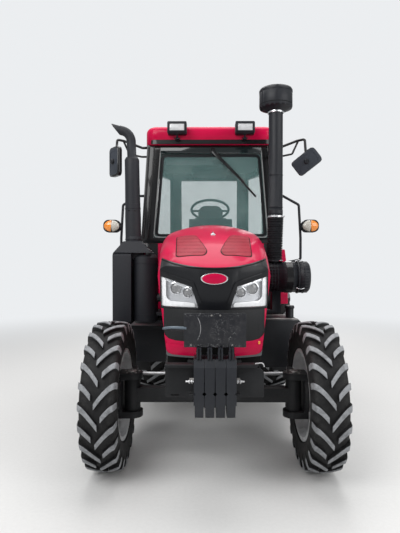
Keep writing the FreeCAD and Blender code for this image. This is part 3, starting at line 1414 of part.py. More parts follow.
def air_cleaner():
    """The horizontal drum beside the hood, on its arm from the engine."""
    y = along("cleaner_y")
    drum = turned("cleaner_drum", [
        ("cleaner_inner_x", "0"),
        ("cleaner_inner_x", "cleaner_radius - 14"),
        ("cleaner_inner_x + 14", "cleaner_radius"),
        ("cleaner_outer_x - cleaner_cap - 122", "cleaner_radius"),
        ("cleaner_outer_x - cleaner_cap - 122", "cleaner_radius + 4"),
        ("cleaner_outer_x - cleaner_cap - 8", "cleaner_radius + 4"),
        ("cleaner_outer_x - cleaner_cap - 8", "cleaner_radius"),
        ("cleaner_outer_x - cleaner_cap", "cleaner_radius"),
        ("cleaner_outer_x - cleaner_cap", "cleaner_radius + 8"),
        ("cleaner_outer_x - 16", "cleaner_radius + 8"),
        ("cleaner_outer_x", "cleaner_radius - 8"),
        ("cleaner_outer_x", "0"),
    ], "0", y, "cleaner_z")
    arm = box("cleaner_arm", "engine_width / 2", "cleaner_inner_x + 130", y + " - 45", y + " + 45",
              "hood_side_bottom - 60", "hood_side_bottom - 36")
    post = box("cleaner_post", "cleaner_inner_x + 60", "cleaner_inner_x + 130", y + " - 45", y + " + 45",
               "hood_side_bottom - 60", "cleaner_z - cleaner_radius + 12")
    return fuse("cleaner_body", [drum, arm, post])


def upright(name, corners, x, y):
    """A solid turned about an upright axis; each corner is a radius and a height."""
    body = doc.addObject("PartDesign::Body", name)
    sketch = outline(body, name + "_outline", "y", "0", corners)
    spin = body.newObject("PartDesign::Revolution", name + "_turn")
    spin.Profile = sketch
    spin.ReferenceAxis = (sketch, ["V_Axis"])
    spin.Angle = 360
    body.Tip = spin
    bind(body, "Placement.Base.x", x)
    bind(body, "Placement.Base.y", y)
    return body


def snorkel_parts():
    """The foot, the stacked bellows rings, the pipe and the pre-cleaner."""
    y = along("cleaner_y")
    low = value("bellows_bottom")
    count = max(2, int(round((value("bellows_top") - low) / value("bellows_pitch"))))
    step = "(bellows_top - bellows_bottom) / %d" % count
    foot = upright("snorkel_foot", [
        ("0", "cleaner_z + cleaner_radius * 0.8"),
        ("snorkel_radius - 4", "cleaner_z + cleaner_radius * 0.8"),
        ("snorkel_radius - 4", "bellows_bottom - 18"),
        ("snorkel_radius + 6", "bellows_bottom - 18"),
        ("snorkel_radius + 6", "bellows_bottom"),
        ("0", "bellows_bottom"),
    ], "snorkel_foot_x", y)
    rings = []
    for i in range(count):
        share = (i + 0.5) / count
        rings.append(upright("bellows_ring_%02d" % (i + 1), [
            ("0", "bellows_bottom + %s * %d" % (step, i)),
            ("snorkel_radius - 5", "bellows_bottom + %s * %d" % (step, i)),
            ("snorkel_radius + 3", "bellows_bottom + %s * %.1f" % (step, i + 0.5)),
            ("snorkel_radius - 5", "bellows_bottom + %s * %d" % (step, i + 1)),
            ("0", "bellows_bottom + %s * %d" % (step, i + 1)),
        ], "snorkel_foot_x + (snorkel_x - snorkel_foot_x) * %.3f" % share, y))
    pipe = upright("snorkel_pipe", [
        ("0", "bellows_top"),
        ("snorkel_radius + 6", "bellows_top"),
        ("snorkel_radius + 6", "bellows_top + 16"),
        ("snorkel_radius", "bellows_top + 16"),
        ("snorkel_radius", "snorkel_top"),
        ("0", "snorkel_top"),
    ], "snorkel_x", y)
    head = upright("precleaner", [
        ("0", "snorkel_top - 2"),
        ("snorkel_radius + 6", "snorkel_top - 2"),
        ("precleaner_radius - 24", "precleaner_bottom"),
        ("precleaner_radius - 4", "precleaner_bottom + 8"),
        ("precleaner_radius", "precleaner_bottom + 20"),
        ("precleaner_radius", "precleaner_top - 18"),
        ("precleaner_radius - 6", "precleaner_top - 6"),
        ("precleaner_radius - 20", "precleaner_top"),
        ("0", "precleaner_top"),
    ], "snorkel_x", y)
    stay = box("snorkel_stay", "snorkel_x - 6", "snorkel_x + 6", y, along("cab_front_y"),
               "cab_top_z - 130", "cab_top_z - 100")
    solid = fuse("snorkel_body", [foot] + rings + [pipe, head, stay])
    drum = cylinder("drum_space", "x", "cleaner_radius", ("cleaner_inner_x + 14", y, "cleaner_z"),
                    "cleaner_outer_x - cleaner_cap - 122 - cleaner_inner_x - 14")
    return cut("snorkel_cut", solid, [drum])


def exhaust_guard():
    """The guard box and the canister beside it, on an arm from the engine."""
    y = along("exhaust_y")
    front = y + " - guard_depth / 2"
    rear = y + " + guard_depth / 2"
    shell = prism("guard_shell", "x", "-guard_outer_x", "-guard_inner_x", [
        (front + " + 20", "guard_bottom"),
        (rear + " - 20", "guard_bottom"),
        (rear, "guard_bottom + 20"),
        (rear, "guard_top - 20"),
        (rear + " - 20", "guard_top"),
        (front + " + 20", "guard_top"),
        (front, "guard_top - 20"),
        (front, "guard_bottom + 20"),
    ])
    canister = upright("canister", [
        ("0", "guard_bottom"),
        ("canister_radius - 18", "guard_bottom"),
        ("canister_radius", "guard_bottom + 22"),
        ("canister_radius", "guard_top - 40"),
        ("canister_radius - 22", "guard_top - 12"),
        ("0", "guard_top - 12"),
    ], "-canister_x", y)
    tie = box("guard_tie", "-guard_inner_x - 5", "-canister_x", y + " - 30", y + " + 30",
              "guard_bottom + 60", "guard_bottom + 120")
    high_tie = box("guard_high_tie", "-guard_inner_x - 5", "-canister_x", y + " - 30", y + " + 30",
                   "guard_top - 130", "guard_top - 70")
    arm = box("guard_arm", "-canister_x", "-engine_width / 2", y + " - 45", y + " + 45",
              "guard_bottom + 62", "guard_bottom + 92")
    return fuse("guard_body", [shell, canister, tie, high_tie, arm])


def muffler():
    """The sloping cap on the guard box, the leaning muffler and the tail pipe bent outwards."""
    y = value(along("exhaust_y"))
    low = value("guard_top + seat_gap")
    radius = value("muffler_radius")
    foot = Vec(-value("muffler_foot_x"), y, low + value("muffler_cap_height"))
    head = Vec(-value("muffler_head_x"), y, value("muffler_top"))
    run = head - foot
    deep = value("guard_depth") / 2 - 8
    outer = -value("guard_outer_x") + 4
    inner = -value("canister_x") + value("canister_radius") * 0.6
    corners = [Vec(outer, y - deep, low), Vec(inner, y - deep, low), Vec(inner, y + deep, low),
               Vec(outer, y + deep, low)]
    base = Part.makePolygon(corners + corners[:1])
    neck = radius + 12
    ring = Part.makePolygon([foot + Vec(x * neck, z * neck, 0) for x, z in
                             ((-1, -1), (1, -1), (1, 1), (-1, 1), (-1, -1))])
    cap = Part.makeLoft([base, ring], True, True)
    tail = value("tail_radius")
    length = run.Length
    # place along the muffler, radius
    profile = [(-30, 0), (-30, radius + 6), (40, radius + 6), (60, radius), (300, radius), (300, radius + 3),
               (312, radius + 3), (312, radius - 2), (length - 60, radius - 8), (length, tail + 12), (length, 0)]
    points = [Vec(r, 0, along_z) for along_z, r in profile]
    body = Part.Face(Part.makePolygon(points + points[:1])).revolve(Vec(0, 0, 0), Vec(0, 0, 1), 360)
    body.Placement = FreeCAD.Placement(foot, FreeCAD.Rotation(Vec(0, 0, 1), run))
    top = value("tail_top")
    reach = value("tail_reach")
    start = ["%.3f" % c for c in (head - run * (5 / length))]
    turn = ["%.3f" % c for c in (head.x - 8, y, top - 8)]
    end = ["%.3f" % c for c in (-reach, y, top + 30)]
    pipe = bent_tube([start, turn, end], "tail_radius", "95")
    return body.fuse([cap, pipe])


node(air_cleaner(), "air_cleaner")
node(snorkel_parts(), "snorkel")
node(exhaust_guard(), "exhaust_guard")
node(shaped("muffler_body", muffler()), "muffler")


# Mirrors, rails, lamps and wiper

def pillar_x(height):
    """The outer face of the front pillar at a height above the waist."""
    return ("(cab_top_half + (cab_top_z - (%s)) * (cab_waist_half - cab_top_half) / (cab_top_z - cab_waist_z))"
            % height)


def on_side(side, x):
    """A place along X on the left (1) or right (-1) side, as a formula."""
    return "%d * (%s)" % (side, x)


def from_pillar(side, height, points):
    """A bar that leaves the front pillar square at a height, then follows points of x, y and z."""
    y = along("cab_front_y + 25")
    start = pillar_x(height)
    route = [(on_side(side, start + " + 1.6"), y, height), (on_side(side, start + " + 48"), y, height)]
    for x, back, z in points:
        route.append((on_side(side, x), "%s + %s" % (y, back), z))
    return route


def rounded_plate(width, depth, height, corner):
    """A plate across Y about its own middle, its corners rounded."""
    plate = Part.makeBox(width, depth, height, Vec(-width / 2, -depth / 2, -height / 2))
    return plate.makeFillet(corner, [edge for edge in plate.Edges if abs(edge.tangentAt(0).y) > 0.99])


def mirrors():
    """A folded mirror on each side, on two bars from the front pillar."""
    pieces = []
    for side in (-1, 1):
        plate = rounded_plate(value("mirror_width"), value("mirror_thick"), value("mirror_height"), 38)
        place = Vec(side * value("mirror_x"), value(along("cab_front_y - mirror_forward")), value("mirror_z"))
        turn = FreeCAD.Rotation(Vec(0, 0, 1), -value("mirror_turn"))
        if side > 0:
            roll = FreeCAD.Rotation(Vec(0, 1, 0), -value("mirror_roll"))
            turn = roll * FreeCAD.Rotation(Vec(1, 0, 0), value("mirror_pitch"))
        plate.Placement = FreeCAD.Placement(place, turn)
        high = from_pillar(side, "cab_top_z - 20", [
            ("mirror_x - 70", "0", "cab_top_z + 46"),
            ("mirror_x - 12", "-mirror_forward", "cab_top_z + 46"),
            ("mirror_x - 4", "-mirror_forward - 24", "mirror_z + 30")])
        low = from_pillar(side, "cab_top_z - 104", [
            ("mirror_x - 120", "0", "cab_top_z - 80"),
            ("mirror_x - 62", "0", "cab_top_z + 44")])
        pieces.append(plate.fuse([bent_tube(high, "rail_radius", "22"), bent_tube(low, "rail_radius * 0.8", "22")]))
    return Part.makeCompound(pieces)


def turn_lamp(side):
    """A rounded lamp on the outside of its grab rail."""
    route = from_pillar(side, "lamp_z + 290", [
        ("lamp_x - 96", "0", "lamp_z + 205"),
        ("lamp_x - 78", "0", "lamp_z - 110")])
    route.append((on_side(side, "lamp_x - 78"), along("cab_front_y + 25"), "cab_waist_z - 190"))
    route.append((on_side(side, "cab_waist_half - 6"), along("cab_front_y + 25"), "cab_waist_z - 230"))
    rail = bent_tube(route, "rail_radius", "26")
    lamp = rounded_plate(value("lamp_width"), 64, value("lamp_height"), value("lamp_height") * 0.42)
    lamp.translate(Vec(side * value("lamp_x"), value(along("cab_front_y")) - 12, value("lamp_z")))
    return rail.fuse(lamp)


def roof_lamp(x, front):
    """A work lamp on a stalk from the roof's front or rear face."""
    way = -1 if front else 1
    face = value(along("roof_front_y" if front else "roof_rear_y"))
    z = value("roof_lamp_z")
    middle = face + way * value("roof_lamp_depth / 2 + 10")
    case = rounded_plate(value("roof_lamp_width"), value("roof_lamp_depth"), value("roof_lamp_height"), 14)
    case.translate(Vec(x, middle, z))
    low = z - value("roof_lamp_height") / 2
    stalk = Part.makeCylinder(9, 42, Vec(x, middle, low - 40))
    reach = abs(middle - face) + 12
    arm = Part.makeBox(36, reach, 8, Vec(x - 18, face - reach if front else face, low - 44))
    return case.fuse([stalk, arm])


def lamps():
    """Turn lamps on their grab rails, work lamps on the roof and rear lamps on the fenders."""
    pieces = []
    for side in (-1, 1):
        pieces.append(turn_lamp(side))
        for front in (True, False):
            pieces.append(roof_lamp(side * value("roof_lamp_x"), front))
        x0 = side * value("fender_outer_x - 75") - 60
        pieces.append(Part.makeBox(120, 60, 90, Vec(x0, value(along("fender_rear_y - 400")), value("fender_top"))))
    return Part.makeCompound(pieces)


def wiper():
    """The wiper arm and blade across the windscreen, parked to the left."""
    y = "cab_front_y - 16"
    arm = rod(("20", along(y), "screen_top + 15"), ("330", along(y), "screen_top - 320"), "7")
    blade = rod(("110", along(y + " + 6"), "screen_top - 83"), ("395", along(y + " + 6"), "screen_top - 405"), "9")
    hub = Part.makeCylinder(22, 30, Vec(20, value(along("cab_front_y - seat_gap")) - 30,
                                    value("screen_top + 15")), Vec(0, 1, 0))
    return arm.fuse([blade, hub])


node(shaped("mirror_pair", mirrors()), "mirrors")
node(shaped("lamp_set", lamps()), "lamps")
node(shaped("wiper_body", wiper()), "wiper")


# Fuel tank and steps

def fuel_tank():
    """The tank on the left with its filler, and the battery box on the right, each on two straps."""
    body = prism("tank_body", "y", along("tank_front_y"), along("tank_rear_y"), [
        ("tank_inner_x", "tank_bottom"),
        ("tank_outer_x - 60", "tank_bottom"),
        ("tank_outer_x", "tank_bottom + 60"),
        ("tank_outer_x", "tank_top - 30"),
        ("tank_outer_x - 30", "tank_top"),
        ("tank_inner_x", "tank_top"),
    ])
    filler = cylinder("filler_neck", "z", "filler_radius",
                      ("tank_outer_x - 75", along("tank_front_y + 190"), "tank_top - 5"), "90")
    beams = [box("tank_beam", "gearbox_width / 2", "tank_inner_x + 10", along(y0), along(y0 + " + 60"),
                 "tank_bottom + 60", "tank_bottom + 120") for y0 in ("tank_front_y + 210", "tank_rear_y - 110")]
    left = fuse("tank_left", [body, filler] + beams)
    box_right = box("battery_box", "-tank_outer_x", "-tank_inner_x", along("tank_front_y + 40"),
                    along("tank_rear_y - 60"), "tank_bottom + 40", "tank_top - 60")
    beams_right = [box("battery_beam", "-tank_inner_x - 10", "-gearbox_width / 2", along(y0), along(y0 + " + 60"),
                       "tank_bottom + 60", "tank_bottom + 120") for y0 in ("tank_front_y + 210", "tank_rear_y - 130")]
    return together("tanks", [left, fuse("tank_right", [box_right] + beams_right)])


def steps():
    """Two treads between side plates, hung from the floor below the left door."""
    front = along("step_front_y")
    rear = along("step_front_y + step_width")
    plates = []
    for name, start in (("front", front), ("rear", rear + " - step_plate")):
        plates.append(prism("step_plate_" + name, "y", start, start + " + step_plate", [
            ("step_outer_x - step_depth - 20", "step_low - 12"),
            ("step_outer_x", "step_low - 12"),
            ("step_outer_x", "step_low + 50"),
            ("cab_floor_half + 60", "cab_floor_z"),
            ("cab_floor_half - 80", "cab_floor_z"),
            ("cab_floor_half - 80", "cab_floor_z - 45"),
            ("cab_floor_half - 20", "cab_floor_z - 70"),
        ]))
    treads = [
        box("step_tread_low", "step_outer_x - step_depth", "step_outer_x", front, rear, "step_low",
            "step_low + step_thick"),
        box("step_tread_high", "step_outer_x - step_depth - 70", "step_outer_x - 70", front, rear, "step_high",
            "step_high + step_thick"),
        box("step_hanger", "cab_floor_half - 80", "cab_floor_half + 40", front, rear, "cab_floor_z - 12",
            "cab_floor_z"),
    ]
    return fuse("steps_body", plates + treads)


node(fuel_tank(), "fuel_tank")
pair(steps(), "steps_left")


# Power take-off and three-point hitch

def pto_shaft():
    """The splined end seen as a round shaft, with its shoulder in the housing."""
    rear = along("axle_housing_rear_y")
    shaft = cylinder("pto_end", "y", "pto_radius", ("0", rear, "pto_z"), "pto_length")
    shoulder = cylinder("pto_shoulder", "y", "pto_radius + 8", ("0", rear + " - 55", "pto_z"), "63")
    return fuse("pto_body", [shaft, shoulder])


def lower_links():
    """Two bars from the housing to the ball eyes, spread towards the rear."""
    links = []
    for side in (-1, 1):
        pivot = Vec(side * value("link_x + 12"), value(along("link_pivot_y")), value("link_pivot_z"))
        ball = Vec(side * value("link_end_x"), value(along("link_end_y")), value("link_end_z"))
        run = ball - pivot
        thick = value("link_thick")
        tall = value("link_height")
        bar = Part.makeBox(thick, run.Length, tall, Vec(-thick / 2, 0, -tall / 2))
        bar.Placement = FreeCAD.Placement(pivot, FreeCAD.Rotation(Vec(0, 1, 0), run))
        across = Vec(1, 0, 0)
        front_eye = Part.makeCylinder(value("link_eye_radius"), thick + 10, pivot - across * (thick / 2 + 5), across)
        rear_eye = Part.makeCylinder(value("link_eye_radius"), 46, ball - across * 23, across)
        front_bore = Part.makeCylinder(value("link_pin_radius + bearing_gap"), 200, pivot - across * 100, across)
        rear_bore = Part.makeCylinder(value("link_ball_bore"), 200, ball - across * 100, across)
        links.append(bar.fuse([front_eye, rear_eye]).cut(front_bore).cut(rear_bore))
    return Part.makeCompound(links)


def lift_arms():
    """The rocker shaft with an arm on each side."""
    across = Vec(1, 0, 0)
    shaft = Vec(0, value(along("lift_shaft_y")), value("lift_shaft_z"))
    end = Vec(0, value(along("lift_arm_y")), value("lift_arm_z"))
    half = value("lift_arm_x")
    thick = value("lift_arm_thick")
    pieces = [Part.makeCylinder(value("lift_shaft_radius"), 2 * half, shaft - across * half, across)]
    for side in (-1, 1):
        at = across * (side * half)
        eye = Part.makeCylinder(58, thick, shaft + at - across * (thick / 2), across)
        tip = Part.makeCylinder(30, thick, end + at - across * (thick / 2), across)
        run = end - shaft
        bar = Part.makeBox(thick, run.Length, 64, Vec(-thick / 2, 0, -32))
        bar.Placement = FreeCAD.Placement(shaft + at, FreeCAD.Rotation(Vec(0, 1, 0), run))
        pin = Part.makeCylinder(value("lift_pin_radius"), 44,
                                end + at + across * (side * thick / 2 - (0 if side > 0 else 44)), across)
        pieces += [eye, tip, bar, pin]
    return pieces[0].fuse(pieces[1:])


def lift_rods():
    """A rod on each side from the lift arm's pin down to the lower link."""
    across = Vec(1, 0, 0)
    rods = []
    for side in (-1, 1):
        x = side * (value("lift_arm_x + lift_arm_thick / 2") + 24)
        head = Vec(x, value(along("lift_arm_y")), value("lift_arm_z"))
        foot = Vec(side * value("lift_rod_foot_x"), value(along("lift_rod_foot_y")), value("lift_rod_foot_z"))
        run = foot - head
        bar = Part.makeCylinder(value("lift_rod_radius"), run.Length - 20, head, run)
        sleeve = Part.makeCylinder(value("lift_rod_radius + 7"), run.Length * 0.5, head + run * 0.28, run)
        eye = Part.makeCylinder(28, 34, head - across * 17, across)
        low_eye = Part.makeCylinder(26, 30, foot - across * 15, across)
        bore = Part.makeCylinder(value("lift_pin_radius + bearing_gap"), 80, head - across * 40, across)
        rods.append(bar.fuse([sleeve, eye, low_eye]).cut(bore))
    return Part.makeCompound(rods)


def top_link():
    """The adjustable link, stowed upright against the housing."""
    across = Vec(1, 0, 0)
    pivot = Vec(0, value(along("top_link_pivot_y")), value("top_link_pivot_z"))
    lean = math.radians(value("top_link_lean"))
    way = Vec(0, math.cos(lean), math.sin(lean))
    end = pivot + way * value("top_link_length")
    tube = Part.makeCylinder(value("top_link_radius"), value("top_link_length") * 0.62,
                             pivot + way * (value("top_link_length") * 0.19), way)
    screw = Part.makeCylinder(value("top_link_radius") * 0.6, value("top_link_length"), pivot, way)
    eyes = [Part.makeCylinder(30, 44, point - across * 22, across) for point in (pivot, end)]
    bores = [Part.makeCylinder(value("lift_pin_radius + bearing_gap"), 100, pivot - across * 50, across),
             Part.makeCylinder(value("top_link_bore"), 100, end - across * 50, across)]
    return tube.fuse([screw] + eyes).cut(bores[0]).cut(bores[1])


node(pto_shaft(), "pto_shaft")
node(shaped("lower_link_pair", lower_links()), "lower_links")
node(shaped("lift_arm_pair", lift_arms()), "lift_arms")
node(shaped("lift_rod_pair", lift_rods()), "lift_rods")
node(shaped("top_link_body", top_link()), "top_link")


# Check and write

doc.recompute()
for thing in doc.Objects:
    if "Invalid" in thing.State or "Error" in thing.State:
        raise RuntimeError("%s did not compute" % thing.Label)
os.makedirs("parts", exist_ok=True)
for thing in nodes:
    shape = thing.Shape
    if shape.isNull() or not shape.isValid() or not shape.Solids:
        raise RuntimeError("%s has no valid shape" % thing.Label)
    shape.exportStep("parts/%s.step" % thing.Label)
print("%d nodes" % len(nodes))
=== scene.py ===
import json
import math

import bpy
from mathutils import Matrix, Vector

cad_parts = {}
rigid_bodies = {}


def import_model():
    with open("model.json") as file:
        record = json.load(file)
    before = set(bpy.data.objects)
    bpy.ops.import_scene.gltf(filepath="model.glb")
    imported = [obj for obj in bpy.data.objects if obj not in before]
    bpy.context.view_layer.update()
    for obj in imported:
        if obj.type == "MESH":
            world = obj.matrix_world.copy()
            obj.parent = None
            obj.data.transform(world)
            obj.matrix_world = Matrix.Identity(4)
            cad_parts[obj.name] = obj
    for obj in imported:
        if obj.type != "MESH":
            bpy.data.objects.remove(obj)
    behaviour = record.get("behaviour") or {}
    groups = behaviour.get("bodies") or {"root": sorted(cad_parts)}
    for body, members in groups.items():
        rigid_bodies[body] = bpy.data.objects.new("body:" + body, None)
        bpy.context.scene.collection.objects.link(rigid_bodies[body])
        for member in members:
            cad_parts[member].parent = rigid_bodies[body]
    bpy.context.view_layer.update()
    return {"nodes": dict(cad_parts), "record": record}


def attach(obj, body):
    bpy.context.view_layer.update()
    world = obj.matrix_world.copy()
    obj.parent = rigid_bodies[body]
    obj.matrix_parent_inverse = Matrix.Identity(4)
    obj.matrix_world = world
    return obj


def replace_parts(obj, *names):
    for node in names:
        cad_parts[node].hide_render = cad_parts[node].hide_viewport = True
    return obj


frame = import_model()
NODE = frame["nodes"]
BODY_OF = {node: body for body, nodes in frame["record"]["behaviour"]["bodies"].items() for node in nodes}
SLOT_OF = {part["node"]: part["material_slot"] for part in frame["record"]["subparts"]}

# Places and sizes that several pieces share, in metres

FRONT_AXLE = -1.24
REAR_AXLE = 0.96
FRONT_WHEEL = (0.7385, FRONT_AXLE, 0.525)
REAR_WHEEL = (0.685, REAR_AXLE, 0.71)
FRONT_TYRE_WIDTH = 0.24
REAR_TYRE_WIDTH = 0.378
FRONT_LUG = 0.032
REAR_LUG = 0.038
CROWN = 0.028
KINGPIN_X = 0.585
BEFORE_NOSE = -2.2
NOSE_DEPTH = 0.72
CAB_FRONT = -0.22
SNORKEL_X = 0.518
CLEANER_Y = -0.82
EXHAUST_Y = -0.74
COLUMN_WAY = (0, 0.422618, 0.906308)
CLOTH_FRAMES = 20
FINE_WELD = 0.00002
FRAME_WELD = 0.00003
UP = (0, 0, 1)
ACROSS = (1, 0, 0)
BACK = (0, 1, 0)
SIDES = ((1, "left"), (-1, "right"))


# Camera

def place_camera():
    """The view from the front, at head height."""
    bpy.ops.object.camera_add(location=(-0.0634, FRONT_AXLE - 3.3343, 1.4968),
                              rotation=(math.pi / 2 - 0.0142, 0, 0.0089))
    camera = bpy.context.object
    camera.name = "front_camera"
    camera.data.lens = 31.07
    camera.data.sensor_width = 36
    camera.data.clip_end = 200
    bpy.context.scene.camera = camera


place_camera()


# Selecting and shaping

def only(*pieces):
    """Selects these pieces and no other."""
    if bpy.context.object and bpy.context.object.mode != "OBJECT":
        bpy.ops.object.mode_set(mode="OBJECT")
    bpy.ops.object.select_all(action="DESELECT")
    for piece in pieces:
        piece.select_set(True)
    bpy.context.view_layer.objects.active = pieces[0]


def settled(piece):
    """Puts the piece's place into its mesh."""
    only(piece)
    bpy.ops.object.transform_apply(location=True, rotation=True, scale=True)
    return piece


def apply_all(piece):
    only(piece)
    for modifier in list(piece.modifiers):
        bpy.ops.object.modifier_apply(modifier=modifier.name)
    return piece


def outward(piece):
    """Merges doubles and turns every face outwards."""
    only(piece)
    bpy.ops.object.mode_set(mode="EDIT")
    bpy.ops.mesh.select_all(action="SELECT")
    bpy.ops.mesh.remove_doubles(threshold=FINE_WELD)
    bpy.ops.mesh.normals_make_consistent(inside=False)
    bpy.ops.object.mode_set(mode="OBJECT")
    return piece


def smooth(piece, angle=32):
    only(piece)
    bpy.ops.object.shade_smooth_by_angle(angle=math.radians(angle))
    return piece


def softened(piece, width, steps=2, angle=32):
    """Rounds the piece's hard edges."""
    edge = piece.modifiers.new("edges", "BEVEL")
    edge.width = width
    edge.segments = steps
    edge.limit_method = "ANGLE"
    edge.angle_limit = math.radians(angle)
    edge.use_clamp_overlap = True
    apply_all(piece)
    return smooth(piece, 40)


def block(name, low, high, width=0.003, steps=2):
    """A block between two corners, its edges rounded."""
    middle = [(a + b) / 2 for a, b in zip(low, high)]
    span = [b - a for a, b in zip(low, high)]
    only(*bpy.context.scene.objects[:1])
    bpy.ops.mesh.primitive_cube_add(size=1, location=middle, scale=span)
    piece = bpy.context.object
    piece.name = name
    settled(piece)
    if width:
        softened(piece, min(width, min(span) * 0.45), steps)
    return piece


def bar(name, start, end, radius, sides=24, width=0.0):
    """A round bar between two points."""
    start = Vector(start)
    end = Vector(end)
    run = end - start
    turn = run.to_track_quat("Z", "Y").to_euler()
    bpy.ops.mesh.primitive_cylinder_add(vertices=sides, radius=radius, depth=run.length,
                                        location=(start + end) / 2, rotation=turn)
    piece = bpy.context.object
    piece.name = name
    settled(piece)
    if width:
        return softened(piece, width)
    return smooth(piece)


def lathe(name, profile, centre, axis=UP, sides=48):
    """A profile of radius and height, drawn point by point and spun about its axis."""
    bpy.ops.mesh.primitive_plane_add(size=0.01)
    piece = bpy.context.object
    piece.name = name
    bpy.ops.object.mode_set(mode="EDIT")
    bpy.ops.mesh.select_all(action="SELECT")
    bpy.ops.mesh.merge(type="CENTER")
    here = Vector((0, 0, 0))
    for i, (radius, height) in enumerate(profile):
        there = Vector((radius, 0, height))
        if i == 0:
            bpy.ops.transform.translate(value=there - here)
        else:
            bpy.ops.mesh.extrude_vertices_move(TRANSFORM_OT_translate={"value": there - here})
        here = there
    bpy.ops.mesh.select_all(action="SELECT")
    bpy.ops.mesh.spin(steps=sides, angle=2 * math.pi, center=(0, 0, 0), axis=UP)
    bpy.ops.mesh.select_all(action="SELECT")
    bpy.ops.mesh.remove_doubles(threshold=FINE_WELD)
    bpy.ops.mesh.normals_make_consistent(inside=False)
    bpy.ops.object.mode_set(mode="OBJECT")
    piece.rotation_mode = "QUATERNION"
    piece.rotation_quaternion = Vector(axis).to_track_quat("Z", "Y")
    piece.location = centre
    return smooth(settled(piece), 35)


def tube(name, points, radius, sides=10):
    """A round tube along a route of points."""
    curve = bpy.data.curves.new(name, "CURVE")
    curve.dimensions = "3D"
    spline = curve.splines.new("NURBS")
    spline.points.add(len(points) - 1)
    for place, point in zip(spline.points, points):
        place.co = (*point, 1)
    spline.order_u = 3
    spline.use_endpoint_u = True
    spline.resolution_u = 10
    curve.bevel_depth = radius
    curve.bevel_resolution = max(1, sides // 4)
    curve.use_fill_caps = True
    piece = bpy.data.objects.new(name, curve)
    bpy.context.collection.objects.link(piece)
    only(piece)
    bpy.ops.object.convert(target="MESH")
    return smooth(outward(bpy.context.object), 50)


def in_plane(place, *corners):
    """Corners of two places each, all in the plane at one place along its axis."""
    return [(u, v, place) for u, v in corners]


def oblong(left, right, low, high, place):
    """The four corners of a rectangle in the plane at one place along its axis."""
    return in_plane(place, (left, low), (right, low), (right, high), (left, high))


def face_over(name, corners, axis):
    """A flat face over an outline, left open for editing."""
    bpy.ops.mesh.primitive_circle_add(vertices=len(corners), radius=0.1, fill_type="NGON")
    piece = bpy.context.object
    piece.name = name
    for vertex, (u, v, w) in zip(piece.data.vertices, corners):
        vertex.co = {"y": (u, w, v), "z": (u, v, w), "x": (w, u, v)}[axis]
    bpy.ops.object.mode_set(mode="EDIT")
    bpy.ops.mesh.select_all(action="SELECT")
    return piece


def pushed(piece, depth, axis):
    """Gives the open face its depth along an axis and closes the editing."""
    push = {"x": (depth, 0, 0), "y": (0, depth, 0), "z": (0, 0, depth)}[axis]
    bpy.ops.mesh.extrude_region_move(TRANSFORM_OT_translate={"value": push})
    bpy.ops.object.mode_set(mode="OBJECT")
    return outward(piece)


def plate(name, corners, depth, width=0.002, axis="y"):
    """A flat plate over an outline, pushed back by its depth along an axis."""
    piece = pushed(face_over(name, corners, axis), depth, axis)
    if width:
        softened(piece, width)
    return piece


def rim_of(name, corners, wide, depth, width=0.001):
    """A flat band that follows an outline, upright and facing the front or the back."""
    piece = face_over(name, corners, "y")
    bpy.ops.mesh.inset(thickness=wide, depth=0)
    bpy.ops.mesh.delete(type="FACE")
    bpy.ops.mesh.select_all(action="SELECT")
    pushed(piece, depth, "y")
    return softened(piece, width, 1, 40)


def joined(name, pieces):
    """Several pieces made one."""
    only(*pieces)
    if len(pieces) > 1:
        bpy.ops.object.join()
    pieces[0].name = name
    pieces[0].data.name = name
    return pieces[0]


def copied(piece, place):
    """A copy with a mesh of its own, moved by a matrix."""
    other = piece.copy()
    other.data = piece.data.copy()
    bpy.context.collection.objects.link(other)
    other.matrix_world = place
    return settled(other)


def flipped(piece, name):
    """The same piece on the tractor's other side."""
    other = copied(piece, Matrix.Diagonal((-1, 1, 1, 1)))
    other.name = name
    return outward(other)


def bare(node, name, shift=(0, 0, 0), merge_flat=False):
    """A copy of a frame part with its doubles merged, and its flat faces if asked, moved a little."""
    piece = NODE[node].copy()
    piece.data = NODE[node].data.copy()
    bpy.context.collection.objects.link(piece)
    piece.parent = None
    piece.name = name
    piece.hide_viewport = False
    piece.hide_render = False
    piece.hide_set(False)
    piece.matrix_world = Matrix.Translation(shift)
    settled(piece)
    bpy.ops.object.mode_set(mode="EDIT")
    bpy.ops.mesh.select_all(action="SELECT")
    bpy.ops.mesh.remove_doubles(threshold=FRAME_WELD)
    if merge_flat:
        bpy.ops.mesh.dissolve_limited(angle_limit=math.radians(0.6))
    bpy.ops.object.mode_set(mode="OBJECT")
    return piece


def dressed(node, name, width=0.0, crease=35):
    """A copy that stands in for a frame part, its flat faces merged and its edges rounded."""
    piece = bare(node, name, merge_flat=width > 0)
    if width:
        softened(piece, width)
    else:
        smooth(piece, crease)
    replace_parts(piece, node)
    return piece


def fit(piece, body, material):
    """Gives a finished piece its finish and the body that it moves with."""
    piece.data.materials.clear()
    piece.data.materials.append(material)
    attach(piece, body)
    return piece


def show(name, pieces, material, body="tractor"):
    """Joins like pieces into one and finishes it."""
    return fit(joined(name, pieces), body, material)


def hex_bolt(size, place, axis):
    """A bolt head on its washer, pointing out along an axis."""
    head = lathe("bolt", [(0, size * 0.75), (size * 0.8, size * 0.75), (size * 0.93, size * 0.62),
                          (size, 0.2 * size), (size, size * 0.15), (size * 1.35, size * 0.15),
                          (size * 1.35, -0.002), (0, -0.002)], place, axis, 6)
    return smooth(head, 20)


def bolts(name, size, places, axis):
    """Like bolts at a list of places, modelled once and copied."""
    first = hex_bolt(size, (0, 0, 0), axis)
    heads = [copied(first, Matrix.Translation(place)) for place in places]
    bpy.data.objects.remove(first)
    return joined(name, heads)


